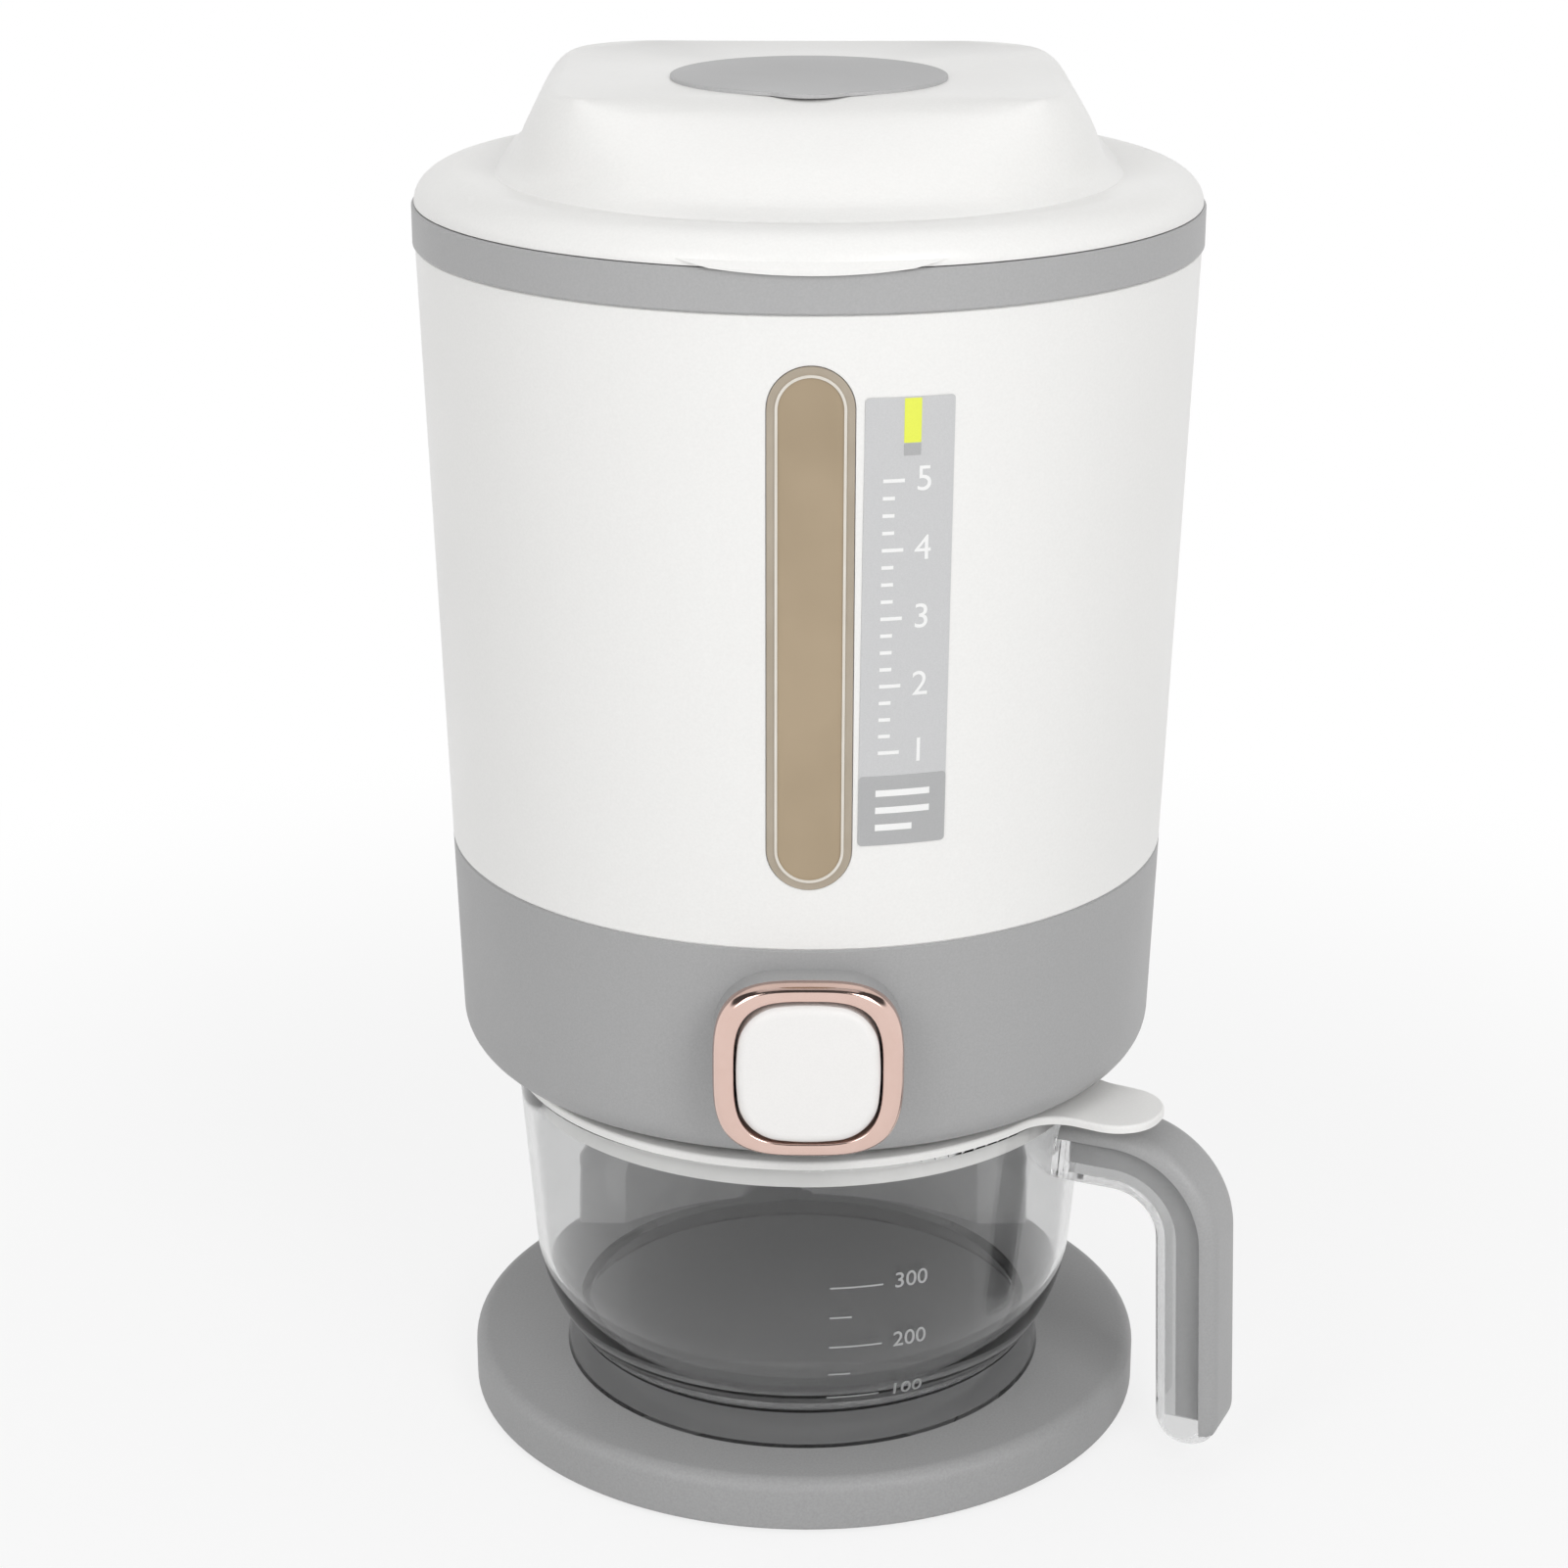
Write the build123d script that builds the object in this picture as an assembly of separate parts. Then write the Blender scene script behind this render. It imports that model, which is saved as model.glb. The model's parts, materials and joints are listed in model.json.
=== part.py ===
import os
from math import atan2, cos, degrees, pi, radians, sin, sqrt, tan

from build123d import *

# Rice dispenser: a round hopper with a hinged lid stands on a rear column above a measuring cup.
# The origin is the middle of the underside, +Z is up and the push button faces -Y.

# General walls and clearances.
wall = 2.5
running_gap = 0.3
slip_gap = 0.2
screw_gap = 0.1
edge_break = 0.5
cut_over = 1.0
straight_limit = 0.01
quarter_turn = 90.0

# Self-tapping screws, shared by every joint.
screw_radius = 1.5
screw_head_radius = 3.0
screw_head_height = 1.8
screw_length = 9.0

# Base. Its radius follows the column that it carries.
base_height = 16.0
base_margin = 4.0
base_edge_fillet = 4.0
base_foot_fillet = 1.0
base_ground_gap = 1.0
base_deck = 3.0
base_plate_thickness = 3.0
base_pad_margin = 9.0
base_pad_thickness = 2.0
base_boss_radius = 4.5
base_screw_inset = 25.0
base_screw_count = 4

# Measuring cup, with its own axis ahead of the base axis. Heights start at the base deck.
cup_x = -0.6
cup_y = -10.0
cup_rim_radius = 81.5
cup_side_taper = 4.3
cup_bowl_run = 10.0
cup_foot_flare = 1.6
cup_height = 90.8
cup_shoulder_height = 37.0
cup_foot_height = 11.0
cup_floor_height = 9.0
cup_floor_thickness = 2.6
cup_wall = 2.4
cup_rim_fillet = 0.9

# Cup handle, in the upright plane through the cup axis.
handle_angle = -24.0
handle_width = 21.0
handle_lid_gap = 5.0
handle_stand = 45.6
handle_root_depth = 11.5
handle_bend = 30.5
handle_lean = 2.2
handle_tip = 10.0
handle_tip_fillet = 8.5
handle_edge_fillet = 4.5
handle_depth = 18.0
handle_channel_wall = 2.4
handle_floor = 3.2
insert_depth = 4.5
insert_end = 4.5

# Cup lid.
cup_lid_overhang = 0.8
cup_lid_thickness = 2.2
cup_lid_mouth = 48.0
cup_lid_plug = 6.4
cup_lid_edge_fillet = 0.8
cup_tab_angle = -28.4
cup_tab_length = 27.2
cup_tab_half_width = 13.5
cup_tab_corner = 12.5
cup_tab_blend = 12.0

# Rear column, with a niche round the measuring cup.
niche_gap = 4.5
column_depth = 17.0
column_span = 38.0
column_wall = 3.0
column_solid_end = 8.0
column_edge_fillet = 1.5
cover_half_width = 54.0
cover_margin = 4.0
cover_ledge = 3.0
column_screw_x = 44.0
column_screw_wall = 4.0

# Lower housing, over the cup.
cup_headroom = 1.8
housing_height = 61.0
housing_edge_fillet = 10.0
ledge_thickness = 2.5
ledge_width = 11.0
spigot_depth = 4.0
spigot_thickness = 2.0

# Hopper cone.
hopper_height = 165.0
hopper_overhang = 2.07
hopper_flare = 5.23

# Sight window in the hopper front.
window_width = 21.5
window_sill = 17.0
window_head = 12.4
window_border = 2.0
window_flange = 1.2
window_proud = 0.35
window_bead_inset = 2.0
window_bead_width = 0.7
window_bead_height = 0.4

# Rim band under the lid.
band_height = 10.8
band_step = 0.7
band_thickness = 3.2
band_spigot_depth = 7.0

# Lid hinge.
hinge_setback = 5.5
hinge_drop = 1.8
hinge_pin_radius = 2.0
knuckle_radius = 4.2
knuckle_half_width = 24.0
lug_width = 10.0

# Lid: a rolled edge, a shallow gutter and a raised middle.
lid_inset = 0.7
lid_roll = 11.3
lid_gutter = 10.0
lid_crest_height = 8.4
lid_crease_drop = 1.3
hump_height = 23.8
hump_side_run = 17.0
hump_front_run = 36.0
hump_rear_run = 18.0
hump_rear_inset = 10.3
hump_corner = 24.0
hump_front_angle = 35.0
hump_rear_angle = 150.0
hump_profile = (
    (-0.05, -0.1), (0.0, 0.0), (0.18, 0.09), (0.38, 0.3),
    (0.6, 0.66), (0.8, 0.88), (0.92, 0.96), (1.05, 1.0),
)
lid_plug_gap = 1.6
lid_plug_depth = 8.0
lid_lip_half_width = 36.0
lid_lip_drop = 2.0
lid_lip_rise = 2.4
lid_lip_thickness = 1.0
gasket_height = 2.4
gasket_depth = 1.2

# Moisture absorber cup and its cap in the lid.
absorber_radius = 31.0
absorber_depth = 21.0
absorber_wall = 1.6
absorber_flange_width = 3.5
absorber_flange = 1.5
absorber_slots = 12
absorber_slot_width = 2.4
cap_overlap = 2.0
cap_thickness = 2.2
cap_plug_depth = 4.0
cap_tab_width = 20.0
cap_tab_length = 6.5
cap_edge_fillet = 0.8

# Funnel and sliding gate, with the outlet over the cup.
throat_length = 46.0
throat_width = 10.0
throat_land = 1.0
funnel_mouth_land = 1.0
funnel_flange_thickness = 2.0
funnel_foot_thickness = 2.5
funnel_foot_margin = 2.6
funnel_foot_front_lap = 17.0
funnel_foot_back_lap = 19.0
gate_travel = 12.0
gate_thickness = 2.5
gate_side_lap = 6.0
gate_back_lap = 8.0
gate_overrun = 3.0
gate_arm_gap = 5.0
gate_arm_thickness = 3.0
gate_arm_half_width = 9.0
gate_arm_rise = 5.0
frame_floor = 2.5
frame_rail = 4.2
frame_wall_thickness = 3.0
frame_wall_half_width = 14.0
frame_wall_rise = 9.0
frame_screw_inset = 6.0
spout_margin = 2.0
spout_wall = 2.0
spout_drop = 1.0

# Push button in the housing front.
button_rise = 0.7
button_size = 38.0
pad_bow = 2.2
button_corner = 12.5
button_proud = 5.33
button_depth = 10.4
button_crown = 3.0
button_wall = 2.2
bezel_ring = 5.6
bezel_corner = 17.0
bezel_step = 1.1
bezel_thickness = 3.0
bezel_fillet = 1.8
sleeve_wall = 1.6
sleeve_overlap = 6.0
stem_drop = 5.2
stem_radius = 4.5
stem_flange_radius = 9.0
stem_flange = 2.0
spring_room = 20.0
spring_mean_radius = 6.4
spring_wire = 0.6
spring_turns = 5

# Heights, stacked from the ground up.
base_plate_bottom = base_pad_thickness
base_plate_top = base_plate_bottom + base_plate_thickness
base_deck_underside = base_height - base_deck
cup_floor = base_height + cup_floor_height
cup_inner_floor = cup_floor + cup_floor_thickness
cup_foot_top = base_height + cup_foot_height
cup_shoulder = base_height + cup_shoulder_height
cup_rim = base_height + cup_height
cup_lid_bottom = cup_rim + slip_gap
cup_lid_top = cup_lid_bottom + cup_lid_thickness
handle_top = cup_lid_bottom - handle_lid_gap
housing_bottom = cup_lid_top + cup_headroom
housing_floor_top = housing_bottom + wall
housing_top = housing_bottom + housing_height
ledge_top = housing_top - spigot_depth - funnel_flange_thickness
ledge_bottom = ledge_top - ledge_thickness
hopper_top = housing_top + hopper_height
window_bottom = housing_top + window_sill
window_top = hopper_top - window_head
band_top = hopper_top + band_height
hinge_z = band_top - hinge_drop
lid_bottom = band_top + running_gap
gasket_middle = lid_bottom - lid_plug_depth / 2
lid_crest = lid_bottom + lid_crest_height
lid_crease = lid_crest - lid_crease_drop
hump_top = lid_crease + hump_height
button_z = (housing_bottom + housing_top) / 2 + button_rise
stem_z = button_z - stem_drop
funnel_foot_top = stem_z - stem_radius
funnel_foot_bottom = funnel_foot_top - funnel_foot_thickness
gate_top = funnel_foot_bottom - slip_gap
gate_bottom = gate_top - gate_thickness
gate_arm_top = stem_z + gate_arm_rise
frame_floor_top = gate_bottom - running_gap
frame_bottom = frame_floor_top - frame_floor
frame_wall_top = stem_z + frame_wall_rise
spout_end = housing_bottom - spout_drop

# Radii, from the cup outwards.
cup_shoulder_radius = cup_rim_radius - cup_side_taper
cup_foot_top_radius = cup_shoulder_radius - cup_bowl_run
cup_foot_radius = cup_foot_top_radius + cup_foot_flare
cup_lid_radius = cup_rim_radius + cup_lid_overhang
cup_tab_reach = cup_lid_radius + cup_tab_length
handle_root_radius = cup_rim_radius - handle_root_depth
handle_reach = cup_rim_radius + handle_stand
niche_radius = cup_rim_radius + niche_gap
column_radius = cup_y + niche_radius + column_depth
column_front = column_radius - column_span
column_screw_y = cup_y + sqrt(niche_radius ** 2 - column_screw_x ** 2) + column_screw_wall
base_radius = column_radius + base_margin
base_pad_radius = base_radius - base_pad_margin
base_screw_circle = base_radius - base_screw_inset
cone_radius_low = base_radius + hopper_overhang
cone_radius_high = cone_radius_low + hopper_flare
cone_slope = hopper_flare / hopper_height
ledge_inner_radius = cone_radius_low - ledge_width
funnel_top_radius = ledge_inner_radius - funnel_mouth_land
band_radius = cone_radius_high + band_step
band_inner_radius = band_radius - band_thickness
hinge_y = band_radius + hinge_setback
lid_edge_radius = band_radius - lid_inset
lid_crest_radius = lid_edge_radius - lid_roll
lid_crease_radius = lid_crest_radius - lid_gutter
lid_plug_radius = band_inner_radius - lid_plug_gap
hump_rear_radius = lid_edge_radius - hump_rear_inset
hump_half_width = lid_crease_radius - hump_side_run
hump_front = lid_crease_radius - hump_front_run
hump_back = hump_rear_radius - hump_rear_run
absorber_flange_radius = absorber_radius + absorber_flange_width
cap_radius = absorber_flange_radius + cap_overlap

# Depths of the button and the gate, from the front back.
button_face = -cone_radius_low - button_proud
button_back = button_face + button_depth
bezel_front = button_face - bezel_step
bezel_back = bezel_front + bezel_thickness
bezel_width = button_size + 2 * bezel_ring
sleeve_back = button_back + sleeve_overlap
sleeve_inner = button_size + 2 * running_gap + slip_gap
sleeve_outer = sleeve_inner + 2 * sleeve_wall
sleeve_corner = button_corner + running_gap
stem_front = button_face + button_wall
stem_seat = button_back - stem_flange
frame_wall_front = button_back + spring_room
gate_arm_front = frame_wall_front + frame_wall_thickness + gate_arm_gap
stem_back = gate_arm_front
spring_front = button_back + spring_wire + running_gap
spring_back = frame_wall_front - spring_wire - running_gap
outlet_y = cup_y
throat_corner = throat_width / 2 - throat_land
gate_half_width = throat_length / 2 + gate_side_lap
gate_back = outlet_y + throat_width / 2 + gate_back_lap
frame_back = gate_back + gate_travel + gate_overrun
frame_half_width = gate_half_width + slip_gap + frame_rail
funnel_foot_half_width = frame_half_width + funnel_foot_margin
funnel_foot_front = outlet_y - throat_width / 2 - funnel_foot_front_lap
funnel_foot_back = outlet_y + throat_width / 2 + funnel_foot_back_lap
spout_length_x = throat_length + spout_margin
spout_length_y = throat_width + 2 * spout_margin


def cone_radius(z):
    return cone_radius_low + cone_slope * (z - housing_top)


def turn(points):
    """A solid turned about Z from a closed outline of radius and height."""
    outline = Polyline(*[(r, 0, z) for r, z in points], close=True)
    return revolve(make_face(outline), Axis.Z)


def tube(outer, inner, low, high):
    ring = Circle(outer) - Circle(inner)
    return Pos(0, 0, low) * extrude(ring, high - low)


def disc(radius, low, high):
    return Pos(0, 0, low) * extrude(Circle(radius), high - low)


def block(x0, x1, y0, y1, z0, z1):
    size = Box(x1 - x0, y1 - y0, z1 - z0)
    return Pos((x0 + x1) / 2, (y0 + y1) / 2, (z0 + z1) / 2) * size


def rod_y(radius, y0, y1, x, z):
    """A rod along Y."""
    return Plane((x, y0, z), z_dir=(0, 1, 0)) * extrude(Circle(radius), y1 - y0)


def rod_x(radius, x0, x1, y, z):
    """A rod along X."""
    return Plane((x0, y, z), z_dir=(1, 0, 0)) * extrude(Circle(radius), x1 - x0)


def front_plane(y, z):
    """A plane facing the front, with its own X to the right and Y up."""
    return Plane((0, y, z), x_dir=(1, 0, 0), z_dir=(0, -1, 0))


def front_pad(width, corner, y_front, y_back):
    """A rounded square block with bowed sides, seen from the front, between two depths."""
    half = width / 2
    end = half - pad_bow
    ends = [(-end, -end), (end, -end), (end, end), (-end, end)]
    middles = [(0, -half), (half, 0), (0, half), (-half, 0)]
    sides = [ThreePointArc(a, m, b) for a, m, b in zip(ends, middles, ends[1:] + ends[:1])]
    plan = make_face(Wire(sides))
    plan = fillet(plan.vertices(), corner)
    return front_plane(y_back, button_z) * extrude(plan, y_back - y_front)


def screw(x, y, seat, up):
    """One self-tapping screw whose head rests on a seat, with its shank going up or down."""
    head = extrude(Circle(screw_head_radius), screw_head_height)
    shank = extrude(Circle(screw_radius), screw_length)
    body = Pos(0, 0, -screw_head_height) * head + shank
    if up:
        return Pos(x, y, seat) * body
    return Pos(x, y, seat) * Rot(X=180) * body


def screw_hole(x, y, seat, up):
    length = screw_length + screw_gap
    hole = Cylinder(screw_radius + screw_gap, length)
    shift = length / 2 if up else -length / 2
    return Pos(x, y, seat + shift) * hole


def base_screw_spots():
    step = 360 / base_screw_count
    turns = [step * (i + 0.5) for i in range(base_screw_count)]
    return [(base_screw_circle * cos(radians(a)), base_screw_circle * sin(radians(a))) for a in turns]


def column_spots():
    return [(side * column_screw_x, column_screw_y) for side in (-1, 1)]


def base():
    """Moulded base: a deck with a rounded edge, hollow underneath."""
    shell = disc(base_radius, base_ground_gap, base_height)
    shell = fillet(shell.edges().group_by(Axis.Z)[-1], base_edge_fillet)
    shell = fillet(shell.edges().group_by(Axis.Z)[0], base_foot_fillet)
    shell -= disc(base_radius - base_deck, base_ground_gap, base_deck_underside)
    for x, y in base_screw_spots():
        shell += Pos(x, y, 0) * disc(base_boss_radius, base_plate_top, base_deck_underside)
        shell -= screw_hole(x, y, base_plate_top, True)
    for x, y in column_spots():
        shell -= screw_hole(x, y, base_deck_underside, True)
    return shell


def base_plate():
    plate = disc(base_radius - base_deck - slip_gap, base_plate_bottom, base_plate_top)
    for x, y in base_screw_spots():
        recess = disc(screw_head_radius + screw_gap, base_plate_bottom, base_plate_bottom + screw_head_height)
        plate -= Pos(x, y, 0) * recess
        plate -= screw_hole(x, y, base_plate_bottom, True)
    return plate


def base_pad():
    return disc(base_pad_radius, 0, base_pad_thickness)


def base_screws():
    seat = base_plate_bottom + screw_head_height
    return [screw(x, y, seat, True) for x, y in base_screw_spots()]


def housing_outer():
    """The full outer form of the lower housing."""
    body = turn([
        (0, housing_bottom),
        (cone_radius(housing_bottom), housing_bottom),
        (cone_radius(housing_top), housing_top - edge_break),
        (cone_radius(housing_top) - edge_break, housing_top),
        (0, housing_top),
    ])
    return fillet(body.edges().group_by(Axis.Z)[0], housing_edge_fillet)


def housing_inner():
    """The space inside the lower housing wall."""
    body = turn([
        (0, housing_floor_top),
        (cone_radius(housing_floor_top) - wall, housing_floor_top),
        (cone_radius(housing_top) - wall, housing_top),
        (0, housing_top),
    ])
    return fillet(body.edges().group_by(Axis.Z)[0], housing_edge_fillet - wall)


def column_form(radius, niche, front, low, high):
    plan = Circle(radius) - Pos(cup_x, cup_y) * Circle(niche)
    plan &= Pos(0, front + radius / 2) * Rectangle(2 * radius, radius)
    return Pos(0, 0, low) * extrude(plan, high - low)


def cover_zone(grow, low, high):
    half = cover_half_width + grow
    inner = column_radius - column_wall
    band = tube(column_radius + wall, inner, low - grow, high + grow)
    return band & block(-half, half, 0, 2 * column_radius, low - grow, high + grow)


def column():
    """Rear column: a C-shaped channel with a cup niche, closed behind by a cover."""
    low = base_height + column_solid_end
    high = housing_bottom - column_solid_end
    top = housing_bottom + housing_edge_fillet
    form = column_form(column_radius, niche_radius, column_front, base_height, top)
    form = fillet(form.edges().filter_by(Axis.Z), column_edge_fillet)
    form -= housing_outer()
    half = cover_half_width - cover_ledge
    pocket = column_form(column_radius, niche_radius + column_wall, column_front + column_wall,
                         low + cover_margin, high - cover_margin)
    form -= pocket & block(-half, half, 0, column_radius, low + cover_margin, high - cover_margin)
    form -= cover_zone(slip_gap, low, high)
    for x, y in column_spots():
        form -= screw_hole(x, y, base_deck_underside, True)
        form -= screw_hole(x, y, housing_floor_top, False)
    return form


def column_cover():
    low = base_height + column_solid_end
    high = housing_bottom - column_solid_end
    return cover_zone(0, low, high) & disc(column_radius, low, high)


def column_screws():
    lower = [screw(x, y, base_deck_underside, True) for x, y in column_spots()]
    upper = [screw(x, y, housing_floor_top, False) for x, y in column_spots()]
    return lower + upper


def lower_housing():
    """Grey housing under the hopper, open at the top."""
    shell = housing_outer() - housing_inner()
    hole_corner = sleeve_corner + sleeve_wall + slip_gap
    shell -= front_pad(sleeve_outer + 2 * slip_gap, hole_corner, bezel_front, sleeve_back)
    spout_x = spout_length_x / 2 + spout_wall + running_gap
    spout_y = spout_length_y / 2 + spout_wall + running_gap
    shell -= block(-spout_x, spout_x, outlet_y - spout_y, outlet_y + spout_y, spout_end, housing_floor_top)
    for x, y in column_spots():
        shell -= screw_hole(x, y, housing_floor_top, False)
    return shell


def funnel_seat():
    """Ring that wedges in the tapered housing and carries the funnel flange."""
    outer = cone_radius(ledge_bottom) - wall - screw_gap
    return tube(outer, ledge_inner_radius, ledge_bottom, ledge_top)


def funnel_cone(grow):
    """A tapered passage from a round mouth to the outlet slot."""
    mouth = Pos(0, 0, ledge_top + funnel_flange_thickness) * Circle(funnel_top_radius + grow)
    throat = Pos(0, outlet_y, funnel_foot_top) * RectangleRounded(
        throat_length + 2 * grow, throat_width + 2 * grow, throat_corner)
    return loft([throat, mouth])


def funnel():
    """Hopper floor: a flange on the housing ledge, a cone and a foot round the outlet slot."""
    body = funnel_cone(wall)
    body += disc(cone_radius(ledge_top) - wall - slip_gap, ledge_top, ledge_top + funnel_flange_thickness)
    body += block(-funnel_foot_half_width, funnel_foot_half_width, funnel_foot_front, funnel_foot_back,
                  funnel_foot_bottom, funnel_foot_top)
    body -= funnel_cone(0)
    slot = RectangleRounded(throat_length, throat_width, throat_corner)
    body -= Pos(0, outlet_y, funnel_foot_bottom) * extrude(slot, funnel_foot_thickness)
    for x, y in frame_spots():
        body -= screw_hole(x, y, frame_bottom, True)
    return body


def frame_spots():
    x = frame_half_width - frame_rail / 2
    rows = (funnel_foot_front + frame_screw_inset, funnel_foot_back - frame_screw_inset)
    return [(side * x, y) for side in (-1, 1) for y in rows]


def gate_frame():
    """Tray under the funnel that guides the gate and carries the spout."""
    inner = gate_half_width + slip_gap
    body = block(-frame_half_width, frame_half_width, frame_wall_front, frame_back,
                 frame_bottom, funnel_foot_bottom)
    body -= block(-inner, inner, frame_wall_front, frame_back, frame_floor_top, funnel_foot_bottom)
    wall_back = frame_wall_front + frame_wall_thickness
    body += block(-frame_wall_half_width, frame_wall_half_width, frame_wall_front, wall_back,
                  frame_bottom, frame_wall_top)
    body -= rod_y(stem_radius + running_gap, frame_wall_front, wall_back, 0, stem_z)
    outer_x = spout_length_x / 2 + spout_wall
    outer_y = spout_length_y / 2 + spout_wall
    body += block(-outer_x, outer_x, outlet_y - outer_y, outlet_y + outer_y, spout_end, frame_bottom)
    body -= block(-spout_length_x / 2, spout_length_x / 2, outlet_y - spout_length_y / 2,
                  outlet_y + spout_length_y / 2, spout_end, frame_floor_top)
    for x, y in frame_spots():
        body -= screw_hole(x, y, frame_bottom, True)
    return body


def frame_screws():
    return [screw(x, y, frame_bottom, True) for x, y in frame_spots()]


def gate_slide():
    """Slotted plate that opens the outlet when the button is pushed in."""
    plate = block(-gate_half_width, gate_half_width, gate_arm_front, gate_back, gate_bottom, gate_top)
    arm_back = gate_arm_front + gate_arm_thickness
    plate += block(-gate_arm_half_width, gate_arm_half_width, gate_arm_front, arm_back,
                   gate_bottom, gate_arm_top)
    slot = extrude(RectangleRounded(throat_length, throat_width, throat_corner), gate_thickness)
    plate -= Pos(0, outlet_y - gate_travel, gate_bottom) * slot
    plate -= rod_y(screw_radius + screw_gap, gate_arm_front, arm_back, 0, stem_z)
    return plate


def button_collar():
    """Grey boss round the button, with a guide sleeve through the housing wall."""
    boss = front_pad(bezel_width, bezel_corner, bezel_back, -cone_radius(button_z) + housing_edge_fillet)
    boss -= housing_outer()
    sleeve = front_pad(sleeve_outer, sleeve_corner + sleeve_wall, bezel_back, sleeve_back)
    return boss + sleeve - front_pad(sleeve_inner, sleeve_corner, bezel_back, sleeve_back)


def button_bezel():
    ring = front_pad(bezel_width, bezel_corner, bezel_front, bezel_back)
    ring -= front_pad(sleeve_inner, sleeve_corner, bezel_front, bezel_back)
    return fillet(ring.edges().group_by(Axis.Y)[0], bezel_fillet)


def button():
    """Pillowed push button, hollow behind."""
    shell = front_pad(button_size, button_corner, button_face, button_back)
    shell = fillet(shell.edges().group_by(Axis.Y)[0], button_crown)
    inner = button_size - 2 * button_wall
    shell -= front_pad(inner, button_corner - button_wall, stem_front, button_back)
    return shell


def button_stem():
    stem = rod_y(stem_radius, stem_front, stem_back, 0, stem_z)
    stem += rod_y(stem_flange_radius, stem_seat, button_back, 0, stem_z)
    stem -= rod_y(screw_radius + screw_gap, stem_back - screw_length - screw_gap, stem_back, 0, stem_z)
    return stem


def stem_screw():
    arm_back = gate_arm_front + gate_arm_thickness
    head = rod_y(screw_head_radius, arm_back, arm_back + screw_head_height, 0, stem_z)
    return head + rod_y(screw_radius, arm_back - screw_length, arm_back, 0, stem_z)


def return_spring():
    """Compression spring round the stem, between its flange and the frame wall."""
    length = spring_back - spring_front
    path = Helix(length / spring_turns, length, spring_mean_radius)
    start = Plane(origin=path @ 0, z_dir=path % 0)
    coil = sweep(start * Circle(spring_wire), path, is_frenet=True)
    return Plane((0, spring_front, stem_z), z_dir=(0, 1, 0)) * coil


def window_form(grow):
    """A stadium seen from the front, cut through the hopper front."""
    width = window_width + 2 * grow
    height = window_top - window_bottom + 2 * grow
    middle = (window_bottom + window_top) / 2
    slot = extrude(SlotOverall(height, width, rotation=90), band_radius)
    return front_plane(0, middle) * slot


def cone_solid(offset, low, high):
    return turn([(0, low), (cone_radius(low) + offset, low), (cone_radius(high) + offset, high), (0, high)])


def hopper():
    """White hopper wall with a spigot below and a stepped window opening."""
    body = turn([
        (0, housing_top),
        (cone_radius(housing_top) - edge_break, housing_top),
        (cone_radius(housing_top), housing_top + edge_break),
        (cone_radius(hopper_top), hopper_top - edge_break),
        (cone_radius(hopper_top) - edge_break, hopper_top),
        (0, hopper_top),
    ])
    body -= cone_solid(-wall, housing_top, hopper_top)
    outer = cone_radius(housing_top - spigot_depth) - wall - slip_gap
    inner = outer - spigot_thickness
    body += tube(outer, inner, housing_top - spigot_depth, housing_top)
    body += tube(cone_radius(housing_top) - wall / 2, inner, housing_top, housing_top + wall)
    body -= window_form(slip_gap) - cone_solid(-window_flange, housing_top, hopper_top)
    body -= window_form(-window_border + slip_gap)
    return body


def sight_window():
    """Clear pane: a flange in the recess and a plug through the wall."""
    low = housing_top
    high = hopper_top
    step = cone_solid(-window_flange, low, high)
    flange = window_form(0) & (cone_solid(window_proud, low, high) - step)
    plug = window_form(-window_border) & (step - cone_solid(-wall, low, high))
    bead = window_form(-window_bead_inset) - window_form(-window_bead_inset - window_bead_width)
    bead &= cone_solid(window_proud + window_bead_height, low, high) - step
    return flange + plug + bead


def hinge_lugs():
    lugs = []
    for side in (-1, 1):
        x0 = side * (knuckle_half_width + slip_gap)
        x1 = x0 + side * lug_width
        barrel = rod_x(knuckle_radius, min(x0, x1), max(x0, x1), hinge_y, hinge_z)
        web_low = hinge_z - knuckle_radius
        web = block(min(x0, x1), max(x0, x1), band_radius - 2 * band_thickness, hinge_y, web_low, hinge_z)
        lugs.append(barrel + web)
    return lugs


def rim_band():
    """Grey band on the hopper top, with the lid hinge lugs behind."""
    inner = band_inner_radius
    ring = turn([
        (inner, hopper_top),
        (band_radius - edge_break, hopper_top),
        (band_radius, hopper_top + edge_break),
        (band_radius, band_top - edge_break),
        (band_radius - edge_break, band_top),
        (inner, band_top),
    ])
    spigot_outer = cone_radius(hopper_top - band_spigot_depth) - wall - slip_gap
    ring += tube(inner + cut_over, spigot_outer - spigot_thickness, hopper_top, hopper_top + spigot_thickness)
    ring += tube(spigot_outer, spigot_outer - spigot_thickness, hopper_top - band_spigot_depth, hopper_top)
    for lug in hinge_lugs():
        ring += lug - disc(inner + band_thickness / 2, hopper_top, band_top + wall)
    half = knuckle_half_width + slip_gap + lug_width
    ring -= rod_x(hinge_pin_radius + screw_gap, -half, half, hinge_y, hinge_z)
    return ring


def hinge_pin():
    half = knuckle_half_width + slip_gap + lug_width
    return rod_x(hinge_pin_radius, -half, half, hinge_y, hinge_z)


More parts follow.
